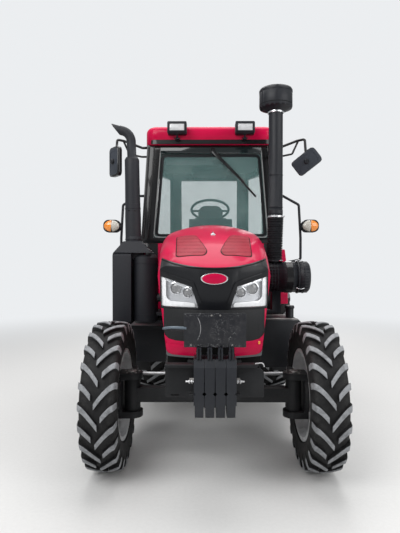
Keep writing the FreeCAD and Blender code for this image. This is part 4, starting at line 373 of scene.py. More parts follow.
def ring_of(centre, radius, count, axis="x", turn=0.0):
    """Places round a circle across an axis."""
    places = []
    for i in range(count):
        a = turn + 2 * math.pi * i / count
        u = radius * math.cos(a)
        v = radius * math.sin(a)
        offset = {"x": (0, u, v), "y": (u, 0, v), "z": (u, v, 0)}[axis]
        places.append(Vector(centre) + Vector(offset))
    return places


# Finishes

class Flow:
    """A number or colour on its way through a finish's nodes."""

    def __init__(self, finish, socket):
        self.finish = finish
        self.socket = socket

    def math(self, operation, other=0.5, flip=False):
        values = {0: other, 1: self} if flip else {0: self, 1: other}
        node = self.finish.node("ShaderNodeMath", {"operation": operation}, values)
        return Flow(self.finish, node.outputs[0])

    def __add__(self, other):
        return self.math("ADD", other)

    __radd__ = __add__

    def __sub__(self, other):
        return self.math("SUBTRACT", other)

    def __rsub__(self, other):
        return self.math("SUBTRACT", other, True)

    def __mul__(self, other):
        return self.math("MULTIPLY", other)

    __rmul__ = __mul__

    def __pow__(self, other):
        return self.math("POWER", other)

    def least(self, other):
        return self.math("MINIMUM", other)

    def most(self, other):
        return self.math("MAXIMUM", other)

    def between(self, low, high):
        """0 below low, 1 above high and an even rise between them."""
        settings = {"interpolation_type": "SMOOTHSTEP"}
        node = self.finish.node("ShaderNodeMapRange", settings, {0: self, 1: low, 2: high})
        return Flow(self.finish, node.outputs[0])


class Finish:
    """A material built from its nodes."""

    def __init__(self, name, **constants):
        self.material = bpy.data.materials.new(name)
        self.material.use_nodes = True
        self.tree = self.material.node_tree
        self.shader = self.tree.nodes["Principled BSDF"]
        self.output = self.tree.nodes["Material Output"]
        self.coords = self.node("ShaderNodeTexCoord", {}, {}).outputs["Object"]
        for socket, number in constants.items():
            label = socket.replace("_", " ").title().replace("Ior", "IOR")
            self.shader.inputs[label].default_value = number

    def node(self, kind, settings, values):
        node = self.tree.nodes.new(kind)
        for key, setting in settings.items():
            if key == "stops":
                ramp = node.color_ramp
                for stop, (place, colour) in zip([ramp.elements[0], ramp.elements[1]], setting[:2]):
                    stop.position = place
                    stop.color = (*colour, 1)
                for place, colour in setting[2:]:
                    ramp.elements.new(place).color = (*colour, 1)
            else:
                setattr(node, key, setting)
        for key, given in values.items():
            if isinstance(given, Flow):
                given = given.socket
            if isinstance(given, bpy.types.NodeSocket):
                self.tree.links.new(given, node.inputs[key])
            else:
                node.inputs[key].default_value = given
        return node

    def place(self, stretch):
        node = self.node("ShaderNodeMapping", {}, {"Vector": self.coords, "Scale": stretch})
        return node.outputs[0]

    def along(self, axis):
        split = self.node("ShaderNodeSeparateXYZ", {}, {0: self.coords})
        return Flow(self, split.outputs["XYZ".index(axis.upper())])

    def noise(self, scale, detail=4.0, rough=0.55, stretch=None):
        where = self.place(stretch) if stretch else self.coords
        node = self.node("ShaderNodeTexNoise", {}, {"Vector": where, "Scale": scale, "Detail": detail,
                                                    "Roughness": rough})
        return Flow(self, node.outputs["Fac"])

    def cells(self, scale, stretch):
        """Distances from the points of an even net."""
        node = self.node("ShaderNodeTexVoronoi", {"feature": "F1"},
                         {"Vector": self.place(stretch), "Scale": scale, "Randomness": 0.0})
        return Flow(self, node.outputs["Distance"])

    def stripes(self, scale, direction="X"):
        node = self.node("ShaderNodeTexWave", {"bands_direction": direction},
                         {"Vector": self.coords, "Scale": scale})
        return Flow(self, node.outputs["Fac"])

    def facing_up(self):
        normal = self.tree.nodes.new("ShaderNodeTexCoord").outputs["Normal"]
        split = self.node("ShaderNodeSeparateXYZ", {}, {0: normal})
        return Flow(self, split.outputs["Z"])

    def blend(self, factor, first, second):
        node = self.node("ShaderNodeMix", {"data_type": "RGBA"}, {"Factor": factor})
        for key, given in ((6, first), (7, second)):
            if isinstance(given, (Flow, bpy.types.NodeSocket)):
                self.tree.links.new(given.socket if isinstance(given, Flow) else given, node.inputs[key])
            else:
                node.inputs[key].default_value = (*given, 1)
        return node.outputs[2]

    def feed(self, socket, given):
        if isinstance(given, Flow):
            given = given.socket
        if isinstance(given, bpy.types.NodeSocket):
            self.tree.links.new(given, self.shader.inputs[socket])
        elif isinstance(given, tuple):
            self.shader.inputs[socket].default_value = (*given, 1)
        else:
            self.shader.inputs[socket].default_value = given

    def relief(self, height, strength=0.3, depth=0.001):
        node = self.node("ShaderNodeBump", {}, {"Height": height, "Strength": strength, "Distance": depth})
        self.tree.links.new(node.outputs[0], self.shader.inputs["Normal"])


DUST = (0.33, 0.32, 0.30)


def coated(name, colour, rough, dust=0.25, coat=0.0, grain=900, depth=0.0003, shine=0.3, low=0.9, lying=0.7):
    """A painted or moulded skin with fine relief and road dust that thickens towards the ground."""
    f = Finish(name, coat_weight=coat, coat_roughness=0.06, specular_ior_level=shine)
    tone = f.noise(3.5, 3)
    shade = tuple(c * 0.82 for c in colour)
    base = f.blend(tone.between(0.3, 0.75), shade, colour)
    patches = f.noise(7, 6, 0.62).between(0.42, 0.72)
    speck = f.noise(160, 2, 0.6).between(0.45, 0.75)
    height = 1 - f.along("z").between(low * 0.35, low * 1.6)
    up = f.facing_up().between(0.55, 1.0)
    layer = (patches * 0.35 + speck * 0.35 + 0.3) * (height * 0.55 + up * lying + 0.12) * dust
    f.feed("Base Color", f.blend(layer.least(0.9), base, DUST))
    f.feed("Roughness", (layer * 0.5 + rough + (tone - 0.5) * 0.08).least(0.95))
    f.relief(f.noise(grain, 2, 0.5) + patches * 0.15, 0.25, depth)
    return f.material


def tyre_rubber(name, wheel, width, lug_height):
    """Dark rubber: lug tops painted light grey, partly dust and partly a painted highlight, scuffed
    shoulders and fine moulded lines.
    """
    axle_x, axle_y, radius = wheel
    tread = radius - lug_height
    f = Finish(name, specular_ior_level=0.25)
    x = f.along("x").math("ABSOLUTE") - axle_x
    y = f.along("y") - axle_y
    z = f.along("z") - radius
    reach = (y * y + z * z) ** 0.5
    off = (x * (2 / width)).math("ABSOLUTE")
    over = (off - 0.91).most(0)
    line = (1 - off * off * CROWN - over * over * 8.5) * radius
    top = (reach - line).between(-0.009, -0.004)
    bed = 1 - reach.between(tread - 0.004, tread + 0.008)
    patches = f.noise(26, 5, 0.65).between(0.3, 0.62)
    speck = f.noise(420, 2, 0.6).between(0.35, 0.65)
    scuff = f.noise(9, 4, 0.6).between(0.4, 0.7)
    rubber = f.blend(scuff, (0.0055, 0.0055, 0.006), (0.011, 0.011, 0.012))
    # The lug tops' light grey is dust plus a painted highlight on the sky-lit tread faces.
    lug_top_dust_and_highlight = (top * (patches * 0.4 + 0.6) * (speck * 0.3 + 0.7)).least(1)
    colour = f.blend(lug_top_dust_and_highlight * 0.92, rubber, (0.33, 0.34, 0.355))
    colour = f.blend(bed * speck * patches * 0.08, colour, DUST)
    f.feed("Base Color", colour)
    f.feed("Roughness", lug_top_dust_and_highlight * 0.22 + 0.62 + scuff * 0.08)
    f.relief(f.noise(700, 2, 0.5) + (reach * 2400).math("SINE") * 0.06 * bed + patches * 0.4, 0.35, 0.0007)
    return f.material


def metal(name, colour, rough, scratch=0.2, dust=0.15):
    f = Finish(name, metallic=1.0)
    lines = f.noise(60, 3, 0.6, (1, 1, 14))
    spots = f.noise(24, 5, 0.65).between(0.45, 0.75)
    clean = f.blend(lines, tuple(c * 0.8 for c in colour), colour)
    f.feed("Base Color", f.blend(spots * dust, clean, DUST))
    f.feed("Roughness", lines * scratch + rough + spots * 0.15)
    f.feed("Metallic", 1 - spots * dust)
    f.relief(lines, 0.15, 0.0003)
    return f.material


def lens(name, colour, alpha=1.0, ribs=0.0):
    """A moulded lens, clear or coloured, with fine ribs."""
    f = Finish(name, roughness=0.06, coat_weight=1.0, coat_roughness=0.03, alpha=alpha)
    haze = f.noise(30, 3).between(0.3, 0.8)
    f.feed("Base Color", f.blend(haze, tuple(c * 0.85 for c in colour), colour))
    f.feed("Roughness", haze * 0.08 + 0.05)
    if ribs:
        f.relief(f.stripes(ribs, "X"), 0.4, 0.001)
    return f.material


def red_mesh():
    """A red punched screen over a dark space."""
    f = Finish("red_vent_mesh", specular_ior_level=0.2)
    holes = 1 - f.cells(210, (1, 0.86, 0.2)).between(0.24, 0.38)
    tone = f.noise(9, 3).between(0.3, 0.8)
    wire = f.blend(tone, (0.26, 0.008, 0.022), (0.34, 0.014, 0.034))
    f.feed("Base Color", f.blend(holes * 0.6, wire, (0.05, 0.003, 0.008)))
    f.feed("Roughness", holes * 0.3 + 0.42)
    f.relief(1 - holes, 0.6, 0.001)
    return f.material


def plate_paint(name, colour, marks, patch, scrape, rims):
    """Dark paint with a chipped patch, one long curved scrape and knocked upper and lower edges."""
    f = Finish(name, coat_weight=0.1, coat_roughness=0.25, specular_ior_level=0.35)
    x = f.along("x")
    z = f.along("z")

    def off(centre):
        across = x - centre[0]
        up = z - centre[1]
        return (across * across + up * up) ** 0.5

    tone = f.noise(4, 4).between(0.3, 0.75)
    base = f.blend(tone, tuple(c * 0.75 for c in colour), colour)
    middle = 1 - off(patch).between(patch[2] * 0.3, patch[2])
    edge = (z - rims[1]).between(-0.020, 0.0).most((rims[0] - z).between(-0.020, 0.0))
    chips = f.noise(330, 2, 0.5).between(0.62, 0.68) * f.noise(40, 3, 0.6).between(0.40, 0.6)
    chips = chips * (middle * 1.3 + edge * 1.4 + 0.12).least(1)
    arc = 1 - (off(scrape) - scrape[2]).math("ABSOLUTE").between(0.0006, 0.0022)
    arc = arc * (x - scrape[0]).between(scrape[2] * 0.82, scrape[2] * 0.9)
    arc = arc * f.noise(60, 3).between(0.35, 0.5)
    lines = f.noise(26, 2, 0.5, (1, 1, 7)).between(0.70, 0.73) * f.noise(7, 3, 0.6).between(0.5, 0.62)
    worn = (chips + arc * 0.8 + lines * 0.35).least(1)
    haze = f.noise(12, 6, 0.6).between(0.45, 0.75) * 0.05
    f.feed("Base Color", f.blend(worn, f.blend(haze, base, DUST), marks))
    f.feed("Roughness", haze * 0.8 + 0.36 + worn * 0.3)
    f.relief(f.noise(260, 2) * 0.6 - worn, 0.3, 0.0004)
    return f.material


def window_glass():
    f = Finish("window_glass", ior=1.45, coat_weight=0.3, coat_roughness=0.02, specular_ior_level=0.3)
    film = f.noise(5, 5, 0.6).between(0.4, 0.8)
    f.feed("Base Color", f.blend(film, (0.20, 0.37, 0.36), (0.28, 0.45, 0.43)))
    f.feed("Roughness", film * 0.06 + 0.02)
    f.feed("Alpha", film * 0.05 + 0.19)
    return f.material


def mesh_screen(name, scale, hole=(0.004, 0.004, 0.004), wire=(0.045, 0.045, 0.047)):
    """A punched or woven screen: even holes in a dark sheet."""
    f = Finish(name, specular_ior_level=0.2)
    net = f.cells(scale, (1, 0.8, 1)).between(0.22, 0.34)
    f.feed("Base Color", f.blend(net, hole, wire))
    f.feed("Roughness", net * -0.3 + 0.75)
    f.relief(net, 0.6, 0.0015)
    return f.material


def fin_core():
    f = Finish("radiator_core", metallic=0.6)
    fins = f.stripes(160, "Z")
    rows = f.stripes(22, "X").between(0.55, 0.8)
    f.feed("Base Color", f.blend(fins, (0.02, 0.02, 0.02), (0.22, 0.22, 0.23)))
    f.feed("Roughness", fins * 0.2 + 0.5)
    f.relief(fins + rows, 0.7, 0.002)
    return f.material


def cloth(name, colour, second):
    f = Finish(name, sheen_weight=0.3)
    warp = f.stripes(420, "X")
    weft = f.stripes(420, "Z")
    weave = warp.most(weft)
    fade = f.noise(6, 4).between(0.35, 0.7)
    f.feed("Base Color", f.blend(weave * fade, second, colour))
    f.feed("Roughness", weave * 0.1 + 0.82)
    f.relief(weave + f.noise(300, 2) * 0.4, 0.5, 0.0008)
    return f.material


def heat_paint():
    """Dark exhaust paint, browned where it runs hot."""
    f = Finish("exhaust_paint", specular_ior_level=0.3)
    patch = f.noise(11, 6, 0.65).between(0.5, 0.75)
    fine = f.noise(120, 4, 0.6)
    hot = f.along("z").between(1.3, 2.7) * 0.35
    base = f.blend(patch * (hot + 0.05), (0.0112, 0.0125, 0.0165), (0.040, 0.034, 0.030))
    f.feed("Base Color", f.blend(fine.between(0.55, 0.8) * 0.06, base, DUST))
    f.feed("Roughness", fine * 0.2 + 0.48)
    f.relief(fine + patch * 0.4, 0.25, 0.0005)
    return f.material


RED = coated("red_paint", (0.52, 0.0018, 0.050), 0.32, 0.03, 0.18, 500, 0.0001, 0.08, 0.8)
CHASSIS = coated("chassis_paint", (0.006, 0.0068, 0.0088), 0.5, 0.08, 0.0, 300, 0.0006, 0.25)
WEIGHT = coated("weight_iron", (0.0085, 0.0105, 0.0155), 0.42, 0.05, 0.0, 140, 0.0010, 0.35)
PLATE = plate_paint("plate_paint", (0.006, 0.0066, 0.0105), (0.36, 0.36, 0.37), (0.055, 1.085, 0.10),
                    (-0.205, 1.10, 0.122), (0.998, 1.184))
FRAME_BLACK = coated("cab_frame_paint", (0.005, 0.005, 0.006), 0.28, 0.03, 0.35, 400, 0.0002, 0.2)
PLASTIC = coated("black_plastic", (0.009, 0.0105, 0.0145), 0.46, 0.08, 0.0, 1400, 0.0004)
CASE = coated("mirror_case", (0.034, 0.040, 0.052), 0.46, 0.05, 0.0, 900, 0.0004)
BAND = coated("screen_band", (0.008, 0.013, 0.014), 0.12, 0.0, 0.5, 400, 0.0001, 0.3)
DASH = coated("dash_plastic", (0.022, 0.023, 0.025), 0.6, 0.05, 0.0, 900, 0.0006)
MASK = coated("mask_plastic", (0.0058, 0.0064, 0.0085), 0.36, 0.04, 0.08, 1200, 0.0002, 0.25)
# Grey trim for the consoles; on the nose's lower lips the same grey is a painted highlight.
GREY_TRIM_AND_LIP_HIGHLIGHT = coated("cab_trim_and_lip_highlight", (0.10, 0.102, 0.108), 0.6, 0.05, 0.0, 900, 0.0005)
LINING = coated("roof_lining", (0.085, 0.09, 0.092), 0.8, 0.0, 0.0, 500, 0.0008, 0.15)
# The plate stay's blue-grey is a painted reflection on the bar.
STAY_REFLECTION_BLUE = coated("stay_painted_reflection", (0.11, 0.14, 0.17), 0.4, 0.1, 0.1, 600, 0.0002)
# The windscreen seal's light grey is a painted reflection along its edge.
SEAL_REFLECTION_GREY = coated("window_seal_painted_reflection", (0.20, 0.21, 0.21), 0.5, 0.05, 0.0, 600, 0.0003)
# Near-black for seams and grooves, and also painted shade on and behind the nose.
SEAM_AND_SHADE = coated("seam_and_shade_black", (0.003, 0.003, 0.003), 0.7, 0.03, 0.0, 700, 0.0002, 0.15)
RUBBER = coated("soft_rubber", (0.007, 0.008, 0.0105), 0.7, 0.06, 0.0, 700, 0.0005, 0.2)
RIM = coated("rim_paint", (0.62, 0.63, 0.64), 0.36, 0.3, 0.2, 500, 0.0002, 0.3, 0.9, 0.0)
FILTER_WHITE = coated("filter_paint", (0.55, 0.55, 0.53), 0.35, 0.2, 0.3, 500, 0.0002)
RED_CAP = coated("coupler_cap", (0.42, 0.02, 0.02), 0.5, 0.2, 0.0, 700, 0.0002)
EXHAUST = heat_paint()
STEEL = metal("bare_steel", (0.56, 0.56, 0.57), 0.28)
WORN_STEEL = metal("zinc_fastener", (0.30, 0.29, 0.28), 0.42, 0.2, 0.3)
CLAMP = metal("clamp_steel", (0.78, 0.79, 0.81), 0.2, 0.1, 0.05)
REFLECTOR = metal("reflector", (0.86, 0.87, 0.9), 0.12, 0.05, 0.0)
BOWL = metal("lamp_bowl", (0.66, 0.67, 0.70), 0.30, 0.1, 0.0)
MIRROR = metal("mirror_glass", (0.85, 0.87, 0.88), 0.02, 0.01, 0.0)
CLEAR = lens("clear_lens", (0.86, 0.88, 0.9), 0.10)
RIBBED = lens("ribbed_lens", (0.66, 0.68, 0.69), 0.85, 90)
WHITE_LENS = lens("white_lens", (0.52, 0.50, 0.44), 1.0, 70)
GUIDE = lens("light_guide", (0.97, 0.98, 1.0))
AMBER = lens("amber_lens", (0.9, 0.27, 0.01), 1.0, 60)
RED_LENS = lens("red_lens", (0.55, 0.01, 0.01), 1.0, 60)
BULB = lens("projector_glass", (0.16, 0.16, 0.165))
GLASS = window_glass()
VENT = mesh_screen("vent_mesh", 190)
NOSE_MESH = mesh_screen("nose_mesh", 230, (0.005, 0.005, 0.005), (0.017, 0.0175, 0.019))
RED_MESH = red_mesh()
CORE = fin_core()
SEAT = cloth("seat_cloth", (0.07, 0.07, 0.075), (0.03, 0.03, 0.032))
TYRE_FRONT = tyre_rubber("front_tyre_rubber", FRONT_WHEEL, FRONT_TYRE_WIDTH, FRONT_LUG)
TYRE_REAR = tyre_rubber("rear_tyre_rubber", REAR_WHEEL, REAR_TYRE_WIDTH, REAR_LUG)

LOOK = {
    "red_paint": RED, "chassis_paint": CHASSIS, "black_paint": FRAME_BLACK, "black_plastic": PLASTIC,
    "mask_plastic": MASK, "radiator_metal": CORE, "lamp_case": PLASTIC, "window_glass": GLASS,
    "bare_steel": STEEL,
}


def dress_nodes():
    """Every frame part gets its finish; those with hard edges are shown by a rounded copy."""
    widths = {
        "hood_shell": 0.003, "hood_mask": 0.003, "nose_grille": 0.002, "blank_plate": 0.0015,
        "front_bracket": 0.008,
        "engine_block": 0.008, "radiator": 0.003, "transmission_housing": 0.01, "rear_axle_housing": 0.006,
        "front_axle_beam": 0.004, "knuckle_left": 0.004, "knuckle_right": 0.004,
        "cab_front_frame": 0.005, "cab_rear_frame": 0.006, "cab_cowl": 0.004, "cab_floor": 0.004,
        "door_left": 0.004, "door_right": 0.004, "fender_left": 0.006, "fender_right": 0.006,
        "exhaust_guard": 0.006, "fuel_tank": 0.014, "dashboard": 0.018,
        "lower_links": 0.003, "lift_arms": 0.004,
    }
    own = {"blank_plate": PLATE, "exhaust_guard": EXHAUST, "nose_grille": NOSE_MESH}
    skip = {"seat", "wiper", "mirrors", "muffler", "headlamps", "front_weights", "weight_carrier",
            "pto_shaft", "tyre_front_left", "tyre_front_right", "tyre_rear_left", "tyre_rear_right",
            "rim_front_left", "rim_front_right", "rim_rear_left", "rim_rear_right"}
    for node, source in NODE.items():
        if node in skip:
            continue
        look = own.get(node) or LOOK[SLOT_OF[node]]
        if node in ("cab_glass", "door_glass_left", "door_glass_right"):
            source.data.materials.clear()
            source.data.materials.append(look)
            continue
        piece = dressed(node, node + "_skin", widths.get(node, 0.0))
        fit(piece, BODY_OF[node], look)


dress_nodes()


# Tyres

def lug(thick, depth, stations):
    """One tread bar: a section at its inner end, pushed out station by station and over the shoulder."""
    x, top, turn = stations[0]
    bpy.ops.mesh.primitive_plane_add(size=1, location=(0, 0, 0), rotation=(0, math.pi / 2, 0))
    piece = bpy.context.object
    piece.name = "tread_bar"
    settled(piece)
    bpy.ops.object.mode_set(mode="EDIT")
    bpy.ops.mesh.select_all(action="SELECT")
    bpy.ops.transform.resize(value=(1, thick, depth))
    bpy.ops.transform.translate(value=(x, 0, top - depth / 2))
    bpy.ops.transform.rotate(value=-turn, orient_axis="X", center_override=(0, 0, 0))
    here = stations[0]
    for station in stations[1:]:
        move = (station[0] - here[0], 0, 0)
        bpy.ops.mesh.extrude_region_move(TRANSFORM_OT_translate={"value": move})
        bpy.ops.transform.rotate(value=-(station[2] - here[2]), orient_axis="X", center_override=(0, 0, 0))
        drop = station[1] - here[1]
        bpy.ops.transform.translate(value=(0, -drop * math.sin(station[2]), drop * math.cos(station[2])))
        here = station
    bpy.ops.object.mode_set(mode="OBJECT")
    outward(piece)
    return softened(piece, 0.004, 2, 25)


def tyre(name, wheel, width, lug_height, lug_width, rim_radius, rim_width):
    """The carcass spun about the axle, and two rows of tread bars, a long and a short one by turns."""
    radius = wheel[2]
    tread = radius - lug_height
    bead = rim_width / 2 - 0.009
    w = width
    side = [(0.0, tread + 0.004), (0.2 * w, tread + 0.002), (0.36 * w, tread - 0.004),
            (0.44 * w, tread - 0.014), (0.48 * w, tread - 0.06 * radius), (0.5 * w, tread - 0.14 * radius),
            (0.503 * w, (tread + rim_radius) / 2 + 0.02), (0.497 * w, (tread + rim_radius) / 2 - 0.01),
            (0.48 * w, rim_radius + 0.07), (0.46 * w, rim_radius + 0.05), (0.455 * w, rim_radius + 0.034),
            (bead, rim_radius + 0.026), (bead, rim_radius + 0.001)]
    profile = [(r, x) for x, r in reversed(side)] + [(r, -x) for x, r in side[1:]]
    profile.append(profile[0])
    carcass = lathe(name + "_carcass", profile, (0, 0, 0), ACROSS, 120)
    smooth(carcass, 60)
    count = 24
    pitch = 2 * math.pi / count
    bars = []
    outer = 0.455
    middle = -0.045
    lean = (outer - middle) * w / tread
    for way in (-1, 1):
        for kind, inner in ((0, 0.13), (1, middle)):
            stations = []
            for share in (0, 0.2, 0.4, 0.6, 0.8, 1):
                x = (inner + (outer - inner) * share) * w
                curve = ((outer - x / w) / (outer - middle)) ** 1.35
                stations.append((way * x, radius - CROWN * radius * (x / (w / 2)) ** 2, lean * curve))
            stations.append((way * 0.492 * w, radius - 0.062 * radius, -0.012))
            stations.append((way * 0.512 * w, radius - 0.14 * radius, -0.016))
            first = lug(lug_width * 1.36, lug_height + 0.02, stations)
            for i in range(count):
                if (i + (way > 0)) % 2 == kind:
                    bars.append(copied(first, Matrix.Rotation((i - 0.4) * pitch, 4, "X")))
            bpy.data.objects.remove(first)
    whole = joined(name, [carcass] + bars)
    whole.location = wheel
    return settled(whole)


def tyres():
    front = tyre("tyre_front_left_tread", FRONT_WHEEL, FRONT_TYRE_WIDTH, FRONT_LUG, 0.03, 0.305, 0.205)
    rear = tyre("tyre_rear_left_tread", REAR_WHEEL, REAR_TYRE_WIDTH, REAR_LUG, 0.042, 0.381, 0.335)
    for end, left, look in (("front", front, TYRE_FRONT), ("rear", rear, TYRE_REAR)):
        right = flipped(left, "tyre_%s_right_tread" % end)
        for side, piece in (("left", left), ("right", right)):
            smooth(piece, 45)
            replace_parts(piece, "tyre_%s_%s" % (end, side))
            fit(piece, "wheel_%s_%s" % (end, side), look)


tyres()


# Shapes shared by the details

def carve(piece, cutter, operation="DIFFERENCE"):
    """Cuts a piece by another, or keeps what lies inside it; the cutter goes."""
    cut = piece.modifiers.new("cut", "BOOLEAN")
    cut.operation = operation
    cut.solver = "EXACT"
    cut.object = cutter
    only(piece)
    bpy.ops.object.modifier_apply(modifier="cut")
    bpy.data.objects.remove(cutter)
    return piece


def rounded(corners, radius, steps=4):
    """The same outline with its corners cut to curves."""
    points = []
    for i, here in enumerate(corners):
        here = Vector(here)
        back = Vector(corners[i - 1]) - here
        on = Vector(corners[(i + 1) % len(corners)]) - here
        reach = min(radius, back.length * 0.45, on.length * 0.45)
        start = here + back.normalized() * reach
        end = here + on.normalized() * reach
        for k in range(steps + 1):
            t = k / steps
            points.append(tuple(start * (1 - t) ** 2 + here * 2 * t * (1 - t) + end * t ** 2))
    return points


def patch(name, node, corners, depth, shift, width=0.0015, axis="y"):
    """The part of a frame part's skin inside an outline, stood a little proud of it."""
    piece = carve(bare(node, name, shift), plate(name + "_outline", corners, depth, 0, axis), "INTERSECT")
    if width:
        softened(piece, width, 2, 50)
    return smooth(piece, 30)


def collar(name, centre, radius, wide, thick, axis=UP, sides=48):
    """A band clamped round a pipe."""
    low = -wide / 2
    high = wide / 2
    soft = min(thick, wide) * 0.3
    profile = [(radius, low), (radius + thick - soft, low), (radius + thick, low + soft),
               (radius + thick, high - soft), (radius + thick - soft, high), (radius, high), (radius, low)]
    return lathe(name, profile, centre, axis, sides)


def clamp(name, centre, radius):
    """A worm-drive clamp on an upright hose: its band, and its screw at the front corner."""
    axis = UP
    band = collar(name, centre, radius, 0.014, 0.0022, axis, 64)
    side = Vector((1, -1, 0)).normalized()
    middle = Vector(centre) + side * (radius + 0.007)
    across = Vector(axis).cross(side).normalized()
    screw = bar(name + "_screw", middle - across * 0.018, middle + across * 0.018, 0.006, 12, 0.001)
    head = hex_bolt(0.006, middle + across * 0.019, across)
    return joined(name, [band, screw, head])


def side_block(name, side, low, high, width=0.003, steps=2):
    """A block on one side of the tractor, its corners given as they are on the left."""
    ends = sorted((side * low[0], side * high[0]))
    return block(name, (ends[0], *low[1:]), (ends[1], *high[1:]), width, steps)


def on_nose(side, places):
    """An outline on one side of the nose, from its places across and up."""
    return [(side * x, z, BEFORE_NOSE) for x, z in places]


# Hood

def hood_details():
    vents = []
    seams = []
    for side in (-1, 1):
        outline = [(0.258, -1.235), (0.128, -1.300), (0.045, -1.600), (0.064, -1.645), (0.242, -1.612)]
        corners = [(side * x, y, 1.2) for x, y in outline]
        vents.append(patch("vent", "hood_shell", rounded(corners, 0.03), 0.8, (0, 0, 0.0022), 0.0012, "z"))
        wide = [(side * (0.152 + (x - 0.152) * 1.06), -1.44 + (y + 1.44) * 1.035, 1.2) for x, y in outline]
        seams.append(patch("vent_seam", "hood_shell", rounded(wide, 0.032), 0.8, (0, 0, 0.0009), 0, "z"))
    show("hood_vents", vents, RED_MESH, "hood")
    show("hood_vent_seams", seams, SEAM_AND_SHADE, "hood")
    lip = [(x, 1.442 + 0.062 * (x / 0.345) ** 2 * 1.02, BEFORE_NOSE)
           for x in (-0.345, -0.25, -0.15, 0, 0.15, 0.25, 0.345)]
    low = [(x, z - 0.008, y) for x, z, y in reversed(lip)]
    seal = patch("hood_lip_seal", "hood_mask", lip + low, 0.9, (0, -0.0015, 0), 0)
    fit(seal, "hood", SEAM_AND_SHADE)
    catch = [block("catch_foot", (-0.017, -1.325, 1.665), (0.017, -1.235, 1.683), 0.006, 3),
             bar("catch_pin", (0, -1.315, 1.684), (0, -1.25, 1.695), 0.006, 16, 0.001)]
    show("hood_catch", catch, CLAMP, "hood")
    side_lines = []
    for side in (-1, 1):
        for k in range(9):
            y = -0.93 + k * 0.052
            slot = in_plane(side * 0.2, (y, 1.30), (y + 0.026, 1.30), (y + 0.046, 1.47), (y + 0.020, 1.47))
            side_lines.append(patch("louvre", "hood_shell", rounded(slot, 0.008, 3), side * 0.4,
                                    (side * 0.002, 0, 0), 0.0012, "x"))
    show("hood_side_louvres", side_lines, VENT, "hood")
    frames = []
    for side in (-1, 1):
        opening = in_plane(side * 0.2, (-0.965, 1.275), (-0.50, 1.275), (-0.455, 1.495), (-0.92, 1.495))
        frames.append(patch("louvre_panel", "hood_shell", rounded(opening, 0.03), side * 0.4,
                            (side * 0.0009, 0, 0), 0, "x"))
    show("hood_side_panels", frames, MASK, "hood")
    edge = oblong(-0.34, 0.34, 0.995, 0.985, BEFORE_NOSE)
    seam = patch("grille_lower_seam", "hood_shell", edge, 0.6, (0, -0.001, 0), 0)
    fit(seam, "hood", SEAM_AND_SHADE)
    # Black patches over the nose's lower corners and the centre notch are painted shade where the body is
    # cut away.
    corners = []
    sweeps = []
    lips = []
    for side in (-1, 1):
        shade = [(0.262, 0.899), (0.298, 0.914), (0.313, 0.942), (0.330, 0.995), (0.342, 1.02), (0.37, 1.02),
                 (0.37, 0.87), (0.262, 0.87)]
        corners.append(patch("corner", "hood_shell", on_nose(side, shade), NOSE_DEPTH, (0, -0.002, 0), 0))
        sweep = [(0.0, 0.975), (0.0, 0.991), (0.24, 0.994), (0.285, 1.003), (0.310, 1.022), (0.325, 1.058),
                 (0.333, 1.12), (0.36, 1.12), (0.36, 0.975)]
        for node in ("nose_grille", "hood_shell"):
            sweeps.append(patch("sweep", node, on_nose(side, sweep), NOSE_DEPTH, (0, -0.0015, 0), 0))
        lip = [(0.122, 0.884), (0.27, 0.884), (0.300, 0.898), (0.322, 0.935), (0.309, 0.940), (0.292, 0.914),
               (0.262, 0.905), (0.122, 0.905)]
        lips.append(patch("lip", "hood_shell", on_nose(side, lip), NOSE_DEPTH, (0, -0.004, -0.011), 0))
    notch = [(-0.114, 0.87), (0.126, 0.87), (0.122, 0.968), (-0.110, 0.968)]
    corners.append(patch("notch", "hood_shell", on_nose(1, notch), NOSE_DEPTH, (0, -0.002, 0), 0))
    show("nose_shades", corners, SEAM_AND_SHADE, "hood")
    show("nose_sweeps", sweeps, RED, "hood")
    # The lower lips' grey is a painted highlight along the lip.
    show("nose_lower_lips", lips, GREY_TRIM_AND_LIP_HIGHLIGHT, "hood")
    mark = oblong(0.276, 0.290, 0.968, 1.030, BEFORE_NOSE)
    reflector = patch("nose_reflector", "hood_shell", rounded(mark, 0.004), 0.6, (0, -0.004, 0), 0.001)
    fit(reflector, "hood", AMBER)


